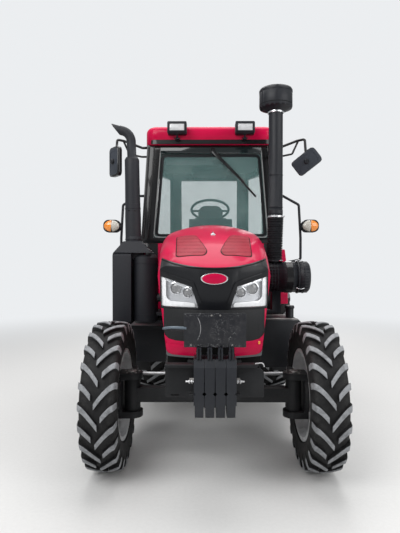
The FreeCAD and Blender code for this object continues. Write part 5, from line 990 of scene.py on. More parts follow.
def headlamps():
    """Clear covers over chrome bowls, a white light guide round the foot and two projectors a side."""
    cover = dressed("headlamps", "headlamp_covers", 0.0)
    fit(cover, "hood", CLEAR)
    bowls = bare("headlamps", "headlamp_bowls", (0, 0.034, 0))
    fit(smooth(bowls, 30), "hood", BOWL)
    guides = []
    brows = []
    bezels = []
    glasses = []
    frames = []
    for side in (-1, 1):
        guide = [(0.115, 1.206), (0.336, 1.206), (0.3385, 1.39), (0.306, 1.383), (0.304, 1.262),
                 (0.280, 1.240), (0.124, 1.232)]
        guides.append(patch("guide", "headlamps", rounded(on_nose(side, guide), 0.02), 0.7, (0, 0.010, 0),
                            0.004))
        brow = [(0.086, 1.228), (0.135, 1.352), (0.345, 1.419), (0.345, 1.430), (0.128, 1.360),
                (0.077, 1.228)]
        brows.append(patch("brow", "hood_mask", rounded(on_nose(side, brow), 0.008), 0.7, (0, -0.006, 0),
                           0.002))
        inner = [(0.136, 1.326), (0.330, 1.388), (0.330, 1.374), (0.141, 1.312)]
        frames.append(patch("light_blade", "headlamps", on_nose(side, inner), 0.7, (0, 0.014, 0), 0.001))
        for x, z, y, r in ((0.236, 1.320, -1.690, 0.037), (0.163, 1.296, -1.722, 0.030)):
            axis = Vector((side * 0.18, -1, 0.02)).normalized()
            profile = [(r * 0.86, -0.012), (r * 1.16, -0.012), (r * 1.2, 0.0), (r * 1.12, 0.010), (r, 0.012),
                       (r * 0.9, 0.004), (r * 0.86, -0.012)]
            bezels.append(lathe("bezel", profile, (side * x, y, z), axis, 40))
            dome = [(r * 0.93, -0.006)]
            dome += [(r * 0.9 * math.cos(a * math.pi / 12), 0.014 * math.sin(a * math.pi / 12))
                     for a in range(7)]
            glasses.append(lathe("glass", dome, (side * x, y, z), axis, 40))
    show("headlamp_guides", guides, GUIDE, "hood")
    show("headlamp_brows", brows, MASK, "hood")
    show("headlamp_blades", frames, REFLECTOR, "hood")
    show("projector_bezels", bezels, REFLECTOR, "hood")
    show("projector_glasses", glasses, BULB, "hood")
    y = -1.7665
    boss = []
    for r, deep in ((1.0, 0.0), (0.9, -0.003)):
        corners = []
        for k in range(36):
            a = 2 * math.pi * k / 36
            corners.append((0.084 * r * math.cos(a), 1.382 + 0.036 * r * math.sin(a), y + deep))
        boss.append(plate("boss", corners, 0.02, 0.002))
    fit(boss[0], "hood", CLAMP).name = "blank_badge_rim"
    fit(boss[1], "hood", RED).name = "blank_badge"


# Front weights, carrier and plate

def front_end():
    y = -1.96
    weights = dressed("front_weights", "weight_plates", 0.004)
    cutters = []
    for x in (-0.124, -0.062, 0, 0.062, 0.124):
        notch = in_plane(y - 0.02, (x - 0.013, 0.730), (x, 0.717), (x + 0.013, 0.730), (x, 0.743))
        cutters.append(plate("notch", notch, 0.06, 0))
        half = 0.0055 if abs(x) < 0.1 else 0.008
        slot = in_plane(y - 0.02, (x - half, 0.57), (x + half, 0.57), (x + half * 0.8, 0.664),
                        (x - half * 0.8, 0.664))
        cutters.append(plate("slot", slot, 0.3, 0))
    carve(weights, joined("weight_cuts", cutters))
    fit(smooth(weights, 25), "tractor", WEIGHT)
    hooks = []
    for x in (-0.093, -0.031, 0.031, 0.093):
        for cheek in (x - 0.009, x + 0.009):
            hooks.append(block("hook", (cheek - 0.0045, -1.952, 0.925), (cheek + 0.0045, -1.90, 0.992)))
        hooks.append(bar("hook_eye", (x - 0.016, -1.925, 0.957), (x + 0.016, -1.925, 0.957), 0.010, 20,
                         0.001))
    show("weight_hooks", hooks, WEIGHT)
    through = bar("weight_clamp_rod", (-0.152, -1.815, 0.778), (0.152, -1.815, 0.778), 0.010, 20, 0.001)
    fit(through, "tractor", WORN_STEEL)
    rod = [bar("clamp_rod", (-0.172, -1.862, 0.778), (0.176, -1.862, 0.778), 0.0055, 16, 0.001)]
    rod.append(bolts("nuts_right", 0.0105, [(-0.134, -1.862, 0.778), (-0.150, -1.862, 0.778)], (-1, 0, 0)))
    rod.append(bolts("nuts_left", 0.0105, [(0.134, -1.862, 0.778), (0.150, -1.862, 0.778)], ACROSS))
    show("carrier_nuts", rod, STEEL)
    carrier = dressed("weight_carrier", "carrier_plate", 0.004)
    holes = [plate("slot", rounded(oblong(-0.264, -0.216, 0.674, 0.682, -1.9), 0.004), 0.2, 0)]
    holes.append(bar("corner_hole", (0.262, -1.9, 0.850), (0.262, -1.7, 0.850), 0.009, 20))
    carve(carrier, joined("carrier_holes", holes))
    fit(smooth(carrier, 30), "tractor", CHASSIS)
    # A black sheet inside the nose, painted shade behind the opening.
    shade = block("nose_shade", (-0.30, -1.62, 0.80), (0.30, -1.60, 0.975), 0.004)
    fit(shade, "tractor", SEAM_AND_SHADE)
    screws = [(-0.02, -1.9205, 1.176), (0.03, -1.9205, 1.176), (-0.14, -1.9205, 1.005),
              (0.10, -1.9205, 1.005)]
    fit(bolts("plate_screws", 0.0042, screws, (0, -1, 0)), "tractor", WORN_STEEL)
    stay = tube("plate_stay", [(-0.166, -1.915, 1.101), (-0.205, -1.917, 1.105), (-0.255, -1.912, 1.105),
                               (-0.293, -1.875, 1.097), (-0.306, -1.82, 1.085)], 0.0085, 12)
    hook = tube("carrier_hook", [(0.240, -1.846, 0.880), (0.268, -1.848, 0.886), (0.290, -1.848, 0.882),
                                 (0.294, -1.848, 0.862)], 0.004, 10)
    fit(hook, "tractor", STEEL)
    # The stay's blue-grey is a painted reflection.
    fit(stay, "tractor", STAY_REFLECTION_BLUE)


# Air cleaner, snorkel, muffler and guard

def tail_pipe():
    """The frame's own muffler, its tail cut on a slant and bored out."""
    pipe = bare("muffler", "muffler_body")
    end = Vector((-0.842, EXHAUST_Y, 2.632))
    away = Vector((-0.78, 0, -0.63)).normalized()
    slant = block("slant", (-0.15, -0.1, -0.15), (0.15, 0.1, 0.15), 0)
    slant.matrix_world = Matrix.Translation(end + away * 0.15) @ Matrix.Rotation(math.radians(-39), 4, "Y")
    carve(pipe, settled(slant))
    carve(pipe, bar("bore", (-0.86, EXHAUST_Y, 2.605), (-0.765, EXHAUST_Y, 2.585), 0.031, 32))
    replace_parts(smooth(pipe, 35), "muffler")
    fit(pipe, "tractor", EXHAUST)


def breathers():
    y = CLEANER_Y
    rings = [collar("ring", (SNORKEL_X, y, 2.690), 0.0605, 0.014, 0.004),
             clamp("foot_clamp", (0.507, y, 1.492), 0.0585),
             clamp("top_clamp", (SNORKEL_X, y, 1.848), 0.0635)]
    show("snorkel_clamps", rings, CLAMP)
    seams = [collar("seam", (SNORKEL_X, y, z), 0.0565, 0.006, 0.003, UP, 64) for z in (2.184, 1.925)]
    seams.append(collar("seam", (SNORKEL_X, y, 1.885), 0.0565, 0.03, 0.002, UP, 64))
    show("snorkel_seams", seams, PLASTIC)
    ribs = [collar("lid_edge", (SNORKEL_X, y, 2.856), 0.1325, 0.016, 0.002, UP, 72)]
    groove = collar("precleaner_groove", (SNORKEL_X, y, 2.748), 0.1322, 0.005, 0.0016, UP, 72)
    fit(groove, "tractor", SEAM_AND_SHADE)
    knob = lathe("knob", [(0, 0.004), (0.018, 0.003), (0.022, 0.001), (0.022, 0)], (SNORKEL_X, y, 2.8815),
                 UP, 24)
    ribs.append(knob)
    show("precleaner_lid", ribs, PLASTIC)
    bellows = []
    for k in range(25):
        share = k / 24
        middle = (0.5075 + 0.0105 * share, y, 1.508 + 0.330 * share)
        bellows.append(collar("fold", middle, 0.052, 0.0095, 0.0125, (0.03, 0, 1), 56))
    show("snorkel_bellows", bellows, RUBBER)
    z = 1.358
    bands = [collar("band", (x, y, z), 0.1205, 0.005, 0.003, ACROSS, 64)
             for x in (0.452, 0.476, 0.50, 0.524)]
    bands.append(collar("cover_edge", (0.690, y, z), 0.1275, 0.012, 0.005, ACROSS, 64))
    bands.append(collar("cover_rib", (0.735, y, z), 0.1275, 0.008, 0.004, ACROSS, 64))
    bands.append(lathe("cover_end", [(0, 0.010), (0.05, 0.010), (0.056, 0.002), (0.095, 0.002),
                                     (0.1, -0.004)], (0.783, y, z), ACROSS, 48))
    show("cleaner_ribs", bands, PLASTIC)
    strap = collar("strap", (0.618, y, z), 0.1255, 0.052, 0.003, ACROSS, 64)
    fit(strap, "tractor", FRAME_BLACK)
    strap.name = "cleaner_strap"
    clips = []
    for angle in (-40, 80, 200):
        a = math.radians(angle)
        out = Vector((0, -math.cos(a), math.sin(a)))
        middle = Vector((0.700, y, z)) + out * 0.136
        route = [(-0.028, -0.008), (-0.012, 0.006), (0.016, 0.004), (0.03, -0.003)]
        places = [middle + Vector((along, 0, 0)) + out * rise for along, rise in route]
        clips.append(tube("clip", places, 0.0035, 10))
    show("cleaner_clips", clips, CLAMP)
    y = EXHAUST_Y
    lean = Vector((-0.012, 0, 0.697)).normalized()
    foot = Vector((-0.652, y, 1.650))
    body = lathe("muffler_wrap", [(0.058, 0.0), (0.0655, 0.004), (0.0655, 0.20), (0.0635, 0.274),
                                  (0.0605, 0.48), (0.0605, 0.676), (0.054, 0.690), (0.040, 0.700)], foot,
                 lean, 64)
    marks = [body, collar("seam", foot + lean * 0.018, 0.0665, 0.010, 0.002, lean, 64),
             collar("seam", foot + lean * 0.274, 0.0640, 0.006, 0.0025, lean, 64)]
    for side in (-1, 1):
        spot = foot + lean * 0.255 + Vector((side * 0.026, -0.063, 0))
        marks.append(block("slot", spot - Vector((0.013, 0.004, 0.003)),
                           spot + Vector((0.013, 0.004, 0.003)), 0.002))
    show("muffler_wrap", marks, EXHAUST)
    lines = [collar("seam", (-0.553, y, z), 0.1045, 0.006, 0.0018, UP, 64) for z in (1.05, 1.47)]
    show("guard_seams", lines, EXHAUST)
    fill = block("guard_bridge", (-0.700, -0.80, 1.50), (-0.560, -0.66, 1.575), 0.01)
    fit(fill, "tractor", EXHAUST)
    tail_pipe()
    rows = [1.09 + k * 0.036 for k in range(11)]
    slots = [block("slot", (-0.8075, -0.83, z), (-0.8035, -0.65, z + 0.014), 0.0015) for z in rows]
    show("guard_slots", slots, SEAM_AND_SHADE)


# Cab outside

def glass_shape(wider, taller, y, radius):
    """The outline of a mirror's glass, made wider and taller by shares, with round corners."""
    return rounded(oblong(-0.072 * wider, 0.072 * wider, -0.118 * taller, 0.118 * taller, y), radius)


def side_mirrors():
    """The left head is rolled on its bar and the right one is folded back; the bars are the frame's own."""
    bars = bare("mirrors", "mirror_set")
    middle = Vector((0.890, -0.272, 2.412))
    old = Matrix.Rotation(math.radians(-28), 4, "Y") @ Matrix.Rotation(math.radians(40), 4, "X")
    new = Matrix.Rotation(math.radians(52), 4, "Y") @ Matrix.Rotation(math.radians(14), 4, "X")
    away = block("away", (-0.089, -0.0225, -0.139), (0.089, 0.0225, 0.139), 0)
    away.matrix_world = Matrix.Translation(middle) @ old
    carve(bars, settled(away))
    head = plate("head", rounded(oblong(-0.082, 0.082, -0.128, 0.128, -0.021), 0.045), 0.038, 0.012)
    head.matrix_world = Matrix.Translation(middle) @ new
    whole = joined("mirror_set", [smooth(bars, 40), settled(head)])
    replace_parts(whole, "mirrors")
    fit(whole, "tractor", FRAME_BLACK)
    for side, turn in ((-1, Matrix.Rotation(math.radians(-52), 4, "Z")), (1, new)):
        place = Matrix.Translation((side * middle.x, middle.y, middle.z)) @ turn
        glass = plate("mirror_glass", glass_shape(1, 1, 0.0205, 0.03), 0.002, 0.0005)
        rim = rim_of("mirror_rim", glass_shape(1.13, 1.08, 0.016, 0.036), 0.010, 0.008)
        ball = lathe("ball", [(0, -0.030), (0.018, -0.028), (0.024, -0.018), (0.022, -0.006),
                              (0.030, 0.002)], (0, -0.021, 0.0), BACK, 24)
        back = rim_of("back_rib", glass_shape(0.84, 0.86, -0.0265, 0.03), 0.005, 0.004)
        shell = plate("shell", glass_shape(1.07, 1.04, -0.0245, 0.038), 0.005, 0.002)
        for piece in (glass, rim, ball, back, shell):
            piece.matrix_world = place
            settled(piece)
        word = dict(SIDES)[side]
        fit(glass, "tractor", MIRROR).name = "mirror_glass_" + word
        show("mirror_fittings_" + word, [rim, ball], PLASTIC)
        show("mirror_back_" + word, [shell, back], CASE)


def cab_outside():
    front = CAB_FRONT
    screen = in_plane(front - 0.003, (-0.545, 1.706), (0.545, 1.706), (0.480, 2.513), (-0.480, 2.513))
    head = 2.563
    outline = screen[:2] + [(0.476, head, front - 0.006), (-0.476, head, front - 0.006)]
    # The seal's light grey is a painted reflection along the windscreen's edge.
    fit(rim_of("screen_seal", rounded(outline, 0.05), 0.010, 0.007), "tractor", SEAL_REFLECTION_GREY)
    strip = in_plane(front - 0.006, (-0.476, 2.505), (0.476, 2.505), (0.473, head), (-0.473, head))
    fit(plate("screen_head", strip, 0.003, 0.001), "tractor", BAND)
    inner = [(x * 0.972, 1.706 + (z - 1.706) * 0.966 + 0.012, front + 0.02) for x, z, y in screen]
    fit(rim_of("screen_border", rounded(inner, 0.05), 0.026, 0.004), "tractor", MASK)
    strips = []
    for side in (-1, 1):
        for x0, x1, r in ((0.598, 0.533, 0.007), (0.640, 0.583, 0.009)):
            strips.append(tube("strip", [(side * x0, front - 0.002, 1.70),
                                         (side * (x0 + x1) / 2, front - 0.002, 2.13),
                                         (side * x1, front - 0.002, 2.565)], r, 12))
    show("pillar_trims", strips, FRAME_BLACK)
    arm = [plate("arm", in_plane(-0.250, (0.002, 2.508), (0.032, 2.526), (0.318, 2.235), (0.300, 2.219)),
                 0.010, 0.003),
           lathe("cap", [(0, -0.012), (0.014, -0.012), (0.021, -0.006), (0.023, 0.004), (0.023, 0.03),
                         (0, 0.03)], (0.020, -0.238, 2.528), BACK, 32),
           tube("hose", [(0.028, -0.24, 2.50), (0.10, -0.243, 2.425), (0.16, -0.243, 2.36)], 0.004, 8),
           bar("saddle", (0.270, -0.246, 2.262), (0.300, -0.246, 2.230), 0.010, 16, 0.001)]
    blade = [plate("blade", in_plane(-0.244, (0.104, 2.432), (0.118, 2.444), (0.432, 2.096),
                                     (0.418, 2.084)), 0.018, 0.002),
             bar("spine", (0.140, -0.247, 2.405), (0.400, -0.247, 2.118), 0.008, 12, 0.001)]
    whole = joined("wiper_arm", arm + blade)
    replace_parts(whole, "wiper")
    fit(whole, "tractor", FRAME_BLACK)
    lamp_bits = []
    lenses = []
    for side in (-1, 1):
        for y, way in ((-0.355, -1), (1.320, 1)):
            x = side * 0.312
            outline = oblong(x - 0.076, x + 0.076, 2.672, 2.750, y + way * 0.001)
            lamp_bits.append(rim_of("bezel", rounded(outline, 0.014), 0.009, way * 0.006))
            lenses.append(plate("lens", rounded(outline, 0.016), way * 0.003, 0.001))
            lamp_bits.append(bar("bracket_bolt", (x - 0.026, y - way * 0.05, 2.622),
                                 (x + 0.026, y - way * 0.05, 2.622), 0.006, 12, 0.001))
            for k in range(6):
                low = (x - 0.086, y - way * (0.072 - k * 0.011) - 0.002, 2.7645)
                lamp_bits.append(block("fin", low, (x + 0.086, low[1] + 0.004, 2.769), 0.001, 1))
    show("roof_lamp_bezels", lamp_bits, PLASTIC)
    show("roof_lamp_lenses", lenses, RIBBED)
    for side, word in SIDES:
        dome = [(math.cos(a * math.pi / 18), math.sin(a * math.pi / 18)) for a in range(10)]
        halves = []
        for keep in (1, -1):
            half = lathe("dome", dome, (0, 0, 0), (0, -1, 0), 56)
            half.scale = (0.074, 0.030, 0.054)
            settled(half)
            only(half)
            bpy.ops.object.mode_set(mode="EDIT")
            bpy.ops.mesh.select_all(action="SELECT")
            bpy.ops.mesh.bisect(plane_co=(0, 0, 0), plane_no=(keep * side, 0, 0.12), clear_inner=True)
            bpy.ops.object.mode_set(mode="OBJECT")
            half.location = (side * 0.930, front - 0.043, 1.815)
            halves.append(smooth(settled(half), 60))
        fit(halves[0], "tractor", AMBER).name = "turn_lamp_amber_" + word
        fit(halves[1], "tractor", WHITE_LENS).name = "turn_lamp_clear_" + word
        rim = lathe("rim", [(1.02, 0.02), (1.06, 0.1), (1.06, 0.5), (0.98, 0.5)], (0, 0, 0), BACK, 56)
        rim.scale = (0.074, 0.030, 0.054)
        rim.location = (side * 0.930, front - 0.049, 1.815)
        fit(settled(rim), "tractor", PLASTIC).name = "turn_lamp_rim_" + word
    for name, x0, x1, look in (("rear_lenses_red", 0.672, 0.722, RED_LENS),
                               ("rear_lenses_amber", 0.726, 0.778, AMBER)):
        rear = []
        for side in (-1, 1):
            outline = oblong(*sorted((side * x0, side * x1)), 1.618, 1.692, 1.3795)
            rear.append(plate("rear_lens", rounded(outline, 0.008), 0.010, 0.002))
        show(name, rear, look)
    side_mirrors()
    edge = oblong(-0.66, 0.66, 2.55, 2.619, -0.6)
    roof_edge = patch("roof_front_edge", "cab_roof", edge, 0.35, (0, -0.0015, 0), 0)
    fit(roof_edge, "tractor", FRAME_BLACK)
    cheeks = [side_block("cheek", side, (0.50, -0.2235, 1.032), (0.657, -0.2195, 1.654), 0.0015)
              for side in (-1, 1)]
    show("cowl_cheeks", cheeks, FRAME_BLACK)
    panel = [block("panel", (-0.44, -0.06, 2.746), (0.44, 1.02, 2.758), 0.006, 3)]
    for x in (-0.30, -0.1, 0.1, 0.30):
        panel.append(block("rib", (x - 0.05, 0.0, 2.755), (x + 0.05, 0.96, 2.763), 0.004, 3))
    show("roof_panel", panel, RED)


def door_details():
    for side, word in SIDES:
        body = "door_" + word
        x = 0.640
        bits = [side_block("case", side, (x, -0.125, 1.395), (x + 0.018, -0.045, 1.47), 0.006, 3),
                tube("pull", [(side * (x + 0.012), -0.055, 1.478), (side * (x + 0.045), -0.06, 1.50),
                              (side * (x + 0.047), -0.06, 1.60), (side * (x + 0.026), -0.055, 1.625)],
                     0.009, 14),
                lathe("button", [(0, 0.012), (0.012, 0.011), (0.015, 0.004), (0.015, 0)],
                      (side * (x + 0.017), -0.085, 1.43), (side, 0, 0), 24)]
        show("door_handle_" + word, bits, PLASTIC, body)
        inner = [tube("inner_pull", in_plane(1.35, (side * 0.585, -0.02), (side * 0.555, 0.0),
                                             (side * 0.553, 0.25), (side * 0.582, 0.27)), 0.010, 14)]
        show("door_pull_" + word, inner, PLASTIC, body)


# Cab inside

def pad(name, low, high, cap):
    """A cushion: a rounded block that is puffed by a short cloth run, by no more than a cap."""
    piece = block(name, low, high, min(b - a for a, b in zip(low, high)) * 0.34, 4)
    grid = piece.modifiers.new("grid", "REMESH")
    grid.mode = "VOXEL"
    grid.voxel_size = 0.0065
    apply_all(piece)
    piece.vertex_groups.new(name="held")
    start = [vertex.co.copy() for vertex in piece.data.vertices]
    cloth = piece.modifiers.new("cloth", "CLOTH")
    cloth.settings.use_pressure = True
    cloth.settings.uniform_pressure_force = 4
    cloth.settings.effector_weights.gravity = 0
    cloth.point_cache.frame_start = 1
    cloth.point_cache.frame_end = CLOTH_FRAMES
    for number in range(1, CLOTH_FRAMES + 1):
        bpy.context.scene.frame_set(number)
    shaped = piece.evaluated_get(bpy.context.evaluated_depsgraph_get())
    moved = [vertex.co.copy() for vertex in shaped.data.vertices]
    piece.modifiers.remove(cloth)
    bpy.context.scene.frame_set(1)
    for vertex, first, then in zip(piece.data.vertices, start, moved):
        run = then - first
        if run.length > cap:
            run = run.normalized() * cap
        vertex.co = first + run
    soft = piece.modifiers.new("soft", "SUBSURF")
    soft.levels = 1
    soft.render_levels = 1
    apply_all(piece)
    smooth(piece, 60)
    only(piece)
    bpy.ops.object.mode_set(mode="EDIT")
    bpy.ops.mesh.select_all(action="SELECT")
    bpy.ops.mesh.vertices_smooth(factor=0.5, repeat=2)
    bpy.ops.object.mode_set(mode="OBJECT")
    return piece


def press(piece, axis, place, wide, deep, along, centre):
    """A sewn channel: the surface is drawn in along a line."""
    for vertex in piece.data.vertices:
        off = abs(vertex.co[axis] - place) / wide
        if off < 1:
            side = vertex.co[along] - centre
            vertex.co[along] -= math.copysign(deep * (1 - off * off) ** 2, side)


def seat():
    cushion = pad("seat_cushion", (-0.212, 0.535, 1.385), (0.212, 0.955, 1.462), 0.014)
    for x in (-0.115, 0.115):
        press(cushion, 0, x, 0.014, 0.010, 2, 1.42)
    press(cushion, 1, 0.80, 0.014, 0.008, 2, 1.42)
    rest = pad("seat_backrest", (-0.200, 0.0, 0.0), (0.200, 0.062, 0.50), 0.013)
    for x in (-0.110, 0.110):
        press(rest, 0, x, 0.014, 0.009, 1, 0.031)
    press(rest, 2, 0.30, 0.014, 0.008, 1, 0.031)
    rest.matrix_world = Matrix.Translation((0, 0.918, 1.470)) @ Matrix.Rotation(math.radians(-9), 4, "X")
    settled(rest)
    for piece in (cushion, rest):
        smooth(piece, 60)
        fit(piece, "tractor", SEAT)
    loop = [(-0.212, 0.57), (-0.19, 0.537), (0.19, 0.537), (0.212, 0.57), (0.212, 0.92), (0.19, 0.953),
            (-0.19, 0.953), (-0.212, 0.92), (-0.212, 0.57)]
    piping = tube("seat_piping", [(x * 1.025, y + (y - 0.745) * 0.03, 1.424) for x, y in loop], 0.0035, 8)
    fit(piping, "tractor", PLASTIC)
    shell = [block("pan", (-0.218, 0.54, 1.362), (0.218, 0.97, 1.392), 0.012, 3),
             block("bellows_top", (-0.165, 0.60, 1.335), (0.165, 0.92, 1.365), 0.010, 3),
             block("bellows_mid", (-0.15, 0.615, 1.305), (0.15, 0.905, 1.338), 0.010, 3),
             block("bellows_low", (-0.165, 0.60, 1.270), (0.165, 0.92, 1.308), 0.010, 3),
             block("foot", (-0.17, 0.59, 1.2605), (0.17, 0.93, 1.275), 0.005, 2)]
    back = plate("back_shell", in_plane(-0.205, (0.990, 1.455), (1.012, 1.455), (1.060, 1.985),
                                        (1.036, 1.985)), 0.41, 0.010, "x")
    levers = [bar("lever", (0.218, 0.60, 1.375), (0.236, 0.57, 1.385), 0.007, 14, 0.002),
              bar("lever", (-0.218, 0.62, 1.375), (-0.234, 0.59, 1.385), 0.007, 14, 0.002)]
    whole = joined("seat_frame", shell + [back] + levers)
    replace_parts(whole, "seat")
    fit(whole, "tractor", PLASTIC)


def cab_inside():
    hood = [block("binnacle", (-0.165, 0.00, 1.865), (0.165, 0.165, 1.915), 0.020, 4),
            block("vent_left", (-0.20, -0.15, 1.728), (-0.12, -0.06, 1.742), 0.008, 3),
            block("vent_right", (0.12, -0.15, 1.728), (0.20, -0.06, 1.742), 0.008, 3)]
    show("dash_cowl", hood, DASH)
    column = [lathe("column_gaiter", [(0.030, 0.0), (0.052, 0.0), (0.046, 0.05), (0.050, 0.06),
                                      (0.040, 0.11), (0.044, 0.12), (0.032, 0.17), (0.026, 0.18)],
                    (0, 0.165, 1.665), COLUMN_WAY, 32)]
    show("column_gaiter", column, RUBBER)
    stalks = []
    for side in (-1, 1):
        stalks.append(bar("stalk", (side * 0.03, 0.262, 1.86), (side * 0.15, 0.245, 1.905), 0.006, 14,
                          0.002))
        stalks.append(bar("grip", (side * 0.115, 0.25, 1.892), (side * 0.165, 0.243, 1.911), 0.010, 16,
                          0.004))
    show("column_stalks", stalks, PLASTIC)
    pad_face = lathe("pad_face", [(0, 0.030), (0.030, 0.029), (0.046, 0.022), (0.052, 0.008), (0.052, 0.0),
                                  (0.0, 0.0)], (0, 0.35, 2.03), COLUMN_WAY, 40)
    fit(pad_face, "steering_wheel", PLASTIC).name = "wheel_centre_pad"
    consoles = []
    for side in (-1, 1):
        shape = in_plane(side * 0.28, (0.455, 1.2605), (0.98, 1.2605), (0.98, 1.56), (0.66, 1.60),
                         (0.46, 1.53))
        consoles.append(plate("console", rounded(shape, 0.05), side * 0.15, 0.012, "x"))
    show("side_consoles", consoles, GREY_TRIM_AND_LIP_HIGHLIGHT)
    levers = []
    knobs = []
    spots = [(-0.33, 0.62), (-0.36, 0.70), (-0.33, 0.78), (-0.37, 0.86), (0.34, 0.64), (0.37, 0.74)]
    for x, y in spots:
        levers.append(bar("lever", (x, y, 1.58), (x * 0.98, y - 0.03, 1.70), 0.005, 12, 0.001))
        knobs.append(lathe("knob", [(0, 0.030), (0.010, 0.029), (0.016, 0.020), (0.014, 0.004),
                                    (0.006, -0.006), (0, -0.006)], (x * 0.98, y - 0.03, 1.70),
                           (0, -0.24, 0.97), 24))
    show("console_levers", levers, STEEL)
    show("console_knobs", knobs, PLASTIC)
    pedals = []
    for x in (-0.30, 0.24, 0.34):
        face = [block("pedal", (x - 0.035, -0.012, -0.05), (x + 0.035, 0.0, 0.05), 0.005, 3)]
        for low in (-0.038, -0.016, 0.006, 0.028):
            face.append(block("grip", (x - 0.03, 0.0, low), (x + 0.03, 0.003, low + 0.008), 0.001, 1))
        face = joined("pedal", face)
        face.matrix_world = Matrix.Translation((0, 0.10, 1.165)) @ Matrix.Rotation(math.radians(-35), 4, "X")
        settled(face)
        pedals.append(face)
        pedals.append(tube("stem", [(x, 0.09, 1.16), (x, 0.02, 1.18), (x, -0.06, 1.25), (x, -0.16, 1.30)],
                           0.008, 12))
    show("pedals", pedals, PLASTIC)
    mat = [block("mat", (-0.50, -0.15, 1.0305), (0.50, 0.43, 1.038), 0.003, 2)]
    for k in range(14):
        x = -0.47 + k * 0.0723
        mat.append(block("rib", (x - 0.006, -0.14, 1.036), (x + 0.006, 0.42, 1.041), 0.002, 1))
    show("floor_mat", mat, RUBBER)
    lining = [block("headliner", (-0.53, -0.14, 2.535), (0.53, 1.00, 2.560), 0.010, 3),
              block("visor", (-0.44, -0.155, 2.405), (0.02, -0.148, 2.515), 0.004, 2),
              block("air_box", (-0.20, 0.60, 2.480), (0.20, 0.98, 2.540), 0.020, 4)]
    show("cab_lining", lining, LINING)
    outline = in_plane(0.0, (-0.115, 1.90), (0.115, 1.90), (0.125, 1.99), (0.075, 2.035), (-0.075, 2.035),
                       (-0.125, 1.99))
    case = plate("instrument_case", rounded(outline, 0.03), 0.085, 0.008)
    fit(case, "tractor", DASH)
    dials = []
    for x, r in ((-0.058, 0.036), (0.058, 0.036), (0.0, 0.022)):
        dials.append(collar("dial", (x, 0.087, 1.965), r, 0.006, 0.004, BACK, 40))
        dials.append(bar("pointer", (x, 0.089, 1.965), (x + r * 0.5, 0.089, 1.965 + r * 0.5), 0.0015, 8))
    show("instrument_dials", dials, CLAMP)
    mirror = [block("shell", (-0.11, -0.135, 2.405), (0.11, -0.118, 2.465), 0.010, 4),
              tube("stay", [(0, -0.127, 2.46), (0, -0.12, 2.50), (0, -0.10, 2.54)], 0.005, 10)]
    show("inner_mirror", mirror, PLASTIC)
    pane = rounded(oblong(-0.102, 0.102, 2.412, 2.458, -0.1175), 0.01)
    fit(plate("inner_mirror_glass", pane, 0.0012, 0), "tractor", MIRROR)


# Wheels, axle and steering

def wheel_details():
    for end, wheel, disc, hub, ring, size, hole_ring, hole, hub_ring in (
            ("front", FRONT_WHEEL, 0.7535, 0.8185, 0.118, 0.013, 0.215, 0.024, 0.072),
            ("rear", REAR_WHEEL, 0.622, 0.71, 0.145, 0.016, 0.262, 0.030, 0.085)):
        y, z = wheel[1:]
        rim = dressed("rim_%s_left" % end, "rim_%s_left_plate" % end, 0.0, 40)
        cutters = []
        for place in ring_of((disc - 0.05, y, z), hole_ring, 8, "x", math.pi / 8):
            cutters.append(bar("hole", place, place + Vector((0.1, 0, 0)), hole, 24))
        carve(rim, joined("holes", cutters))
        smooth(rim, 30)
        nuts = bolts("nuts", size, ring_of((disc + 0.001, y, z), ring, 8), ACROSS)
        cap = lathe("cap", [(0, 0.016), (hub * 0.04, 0.016), (0.048, 0.010), (0.056, 0.0), (0.056, -0.004),
                            (0, -0.004)], (hub, y, z), ACROSS, 40)
        small = bolts("small", size * 0.55, ring_of((hub, y, z), hub_ring, 10), ACROSS)
        stem = tube("stem", in_plane(z, (disc - 0.02, y + hole_ring + 0.05),
                                     (disc + 0.02, y + hole_ring + 0.048),
                                     (disc + 0.045, y + hole_ring + 0.03)), 0.004, 10)
        fittings = joined("wheel_%s_left_nuts" % end, [nuts, cap, small, stem])
        for side in ("left", "right"):
            if side == "right":
                rim = flipped(rim, "rim_%s_right_plate" % end)
                fittings = flipped(fittings, "wheel_%s_right_nuts" % end)
            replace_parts(rim, "rim_%s_%s" % (end, side))
            fit(rim, "wheel_%s_%s" % (end, side), RIM)
            fit(fittings, "wheel_%s_%s" % (end, side), WORN_STEEL)


def axle_details():
    for side, word in SIDES:
        x = side * KINGPIN_X
        caps = [lathe("cap", [(0, 0.014), (0.030, 0.013), (0.036, 0.006), (0.036, -0.002), (0, -0.002)],
                      (x, FRONT_AXLE, 0.684), UP, 32)]
        caps.append(bolts("cap_bolts", 0.008, ring_of((x, FRONT_AXLE, 0.684), 0.052, 5, "z", 0.3), UP))
        caps.append(bar("nipple", (x, FRONT_AXLE, 0.695), (x, FRONT_AXLE, 0.712), 0.004, 10, 0.001))
        show("kingpin_cap_" + word, caps, WORN_STEEL, "knuckle_" + word)
        ring = ring_of((side * 0.655, *FRONT_WHEEL[1:]), 0.108, 8, "x", 0.4)
        fit(bolts("drive_bolts_" + word, 0.008, ring, (-side, 0, 0)), "knuckle_" + word, WORN_STEEL)
        hose = tube("cylinder_hose_" + word, [(side * 0.15, -1.10, 0.665), (side * 0.16, -1.11, 0.72),
                                              (side * 0.13, -1.13, 0.78), (side * 0.155, -1.08, 0.86),
                                              (side * 0.19, -0.98, 0.92)], 0.009, 12)
        fit(hose, "tractor", RUBBER)
        fitting = bar("hose_fitting_" + word, (side * 0.15, -1.09, 0.655), (side * 0.15, -1.10, 0.69),
                      0.012, 6, 0.001)
        fit(fitting, "tractor", STEEL)
    rows = (-1.62, -1.52, -1.42, -1.32)
    pairs = [bolts("bolts", 0.012, [(side * 0.166, y, 0.80) for y in rows], (side, 0, 0))
             for side in (-1, 1)]
    show("bracket_bolts", pairs, WORN_STEEL)


# Engine, tank, steps and rear

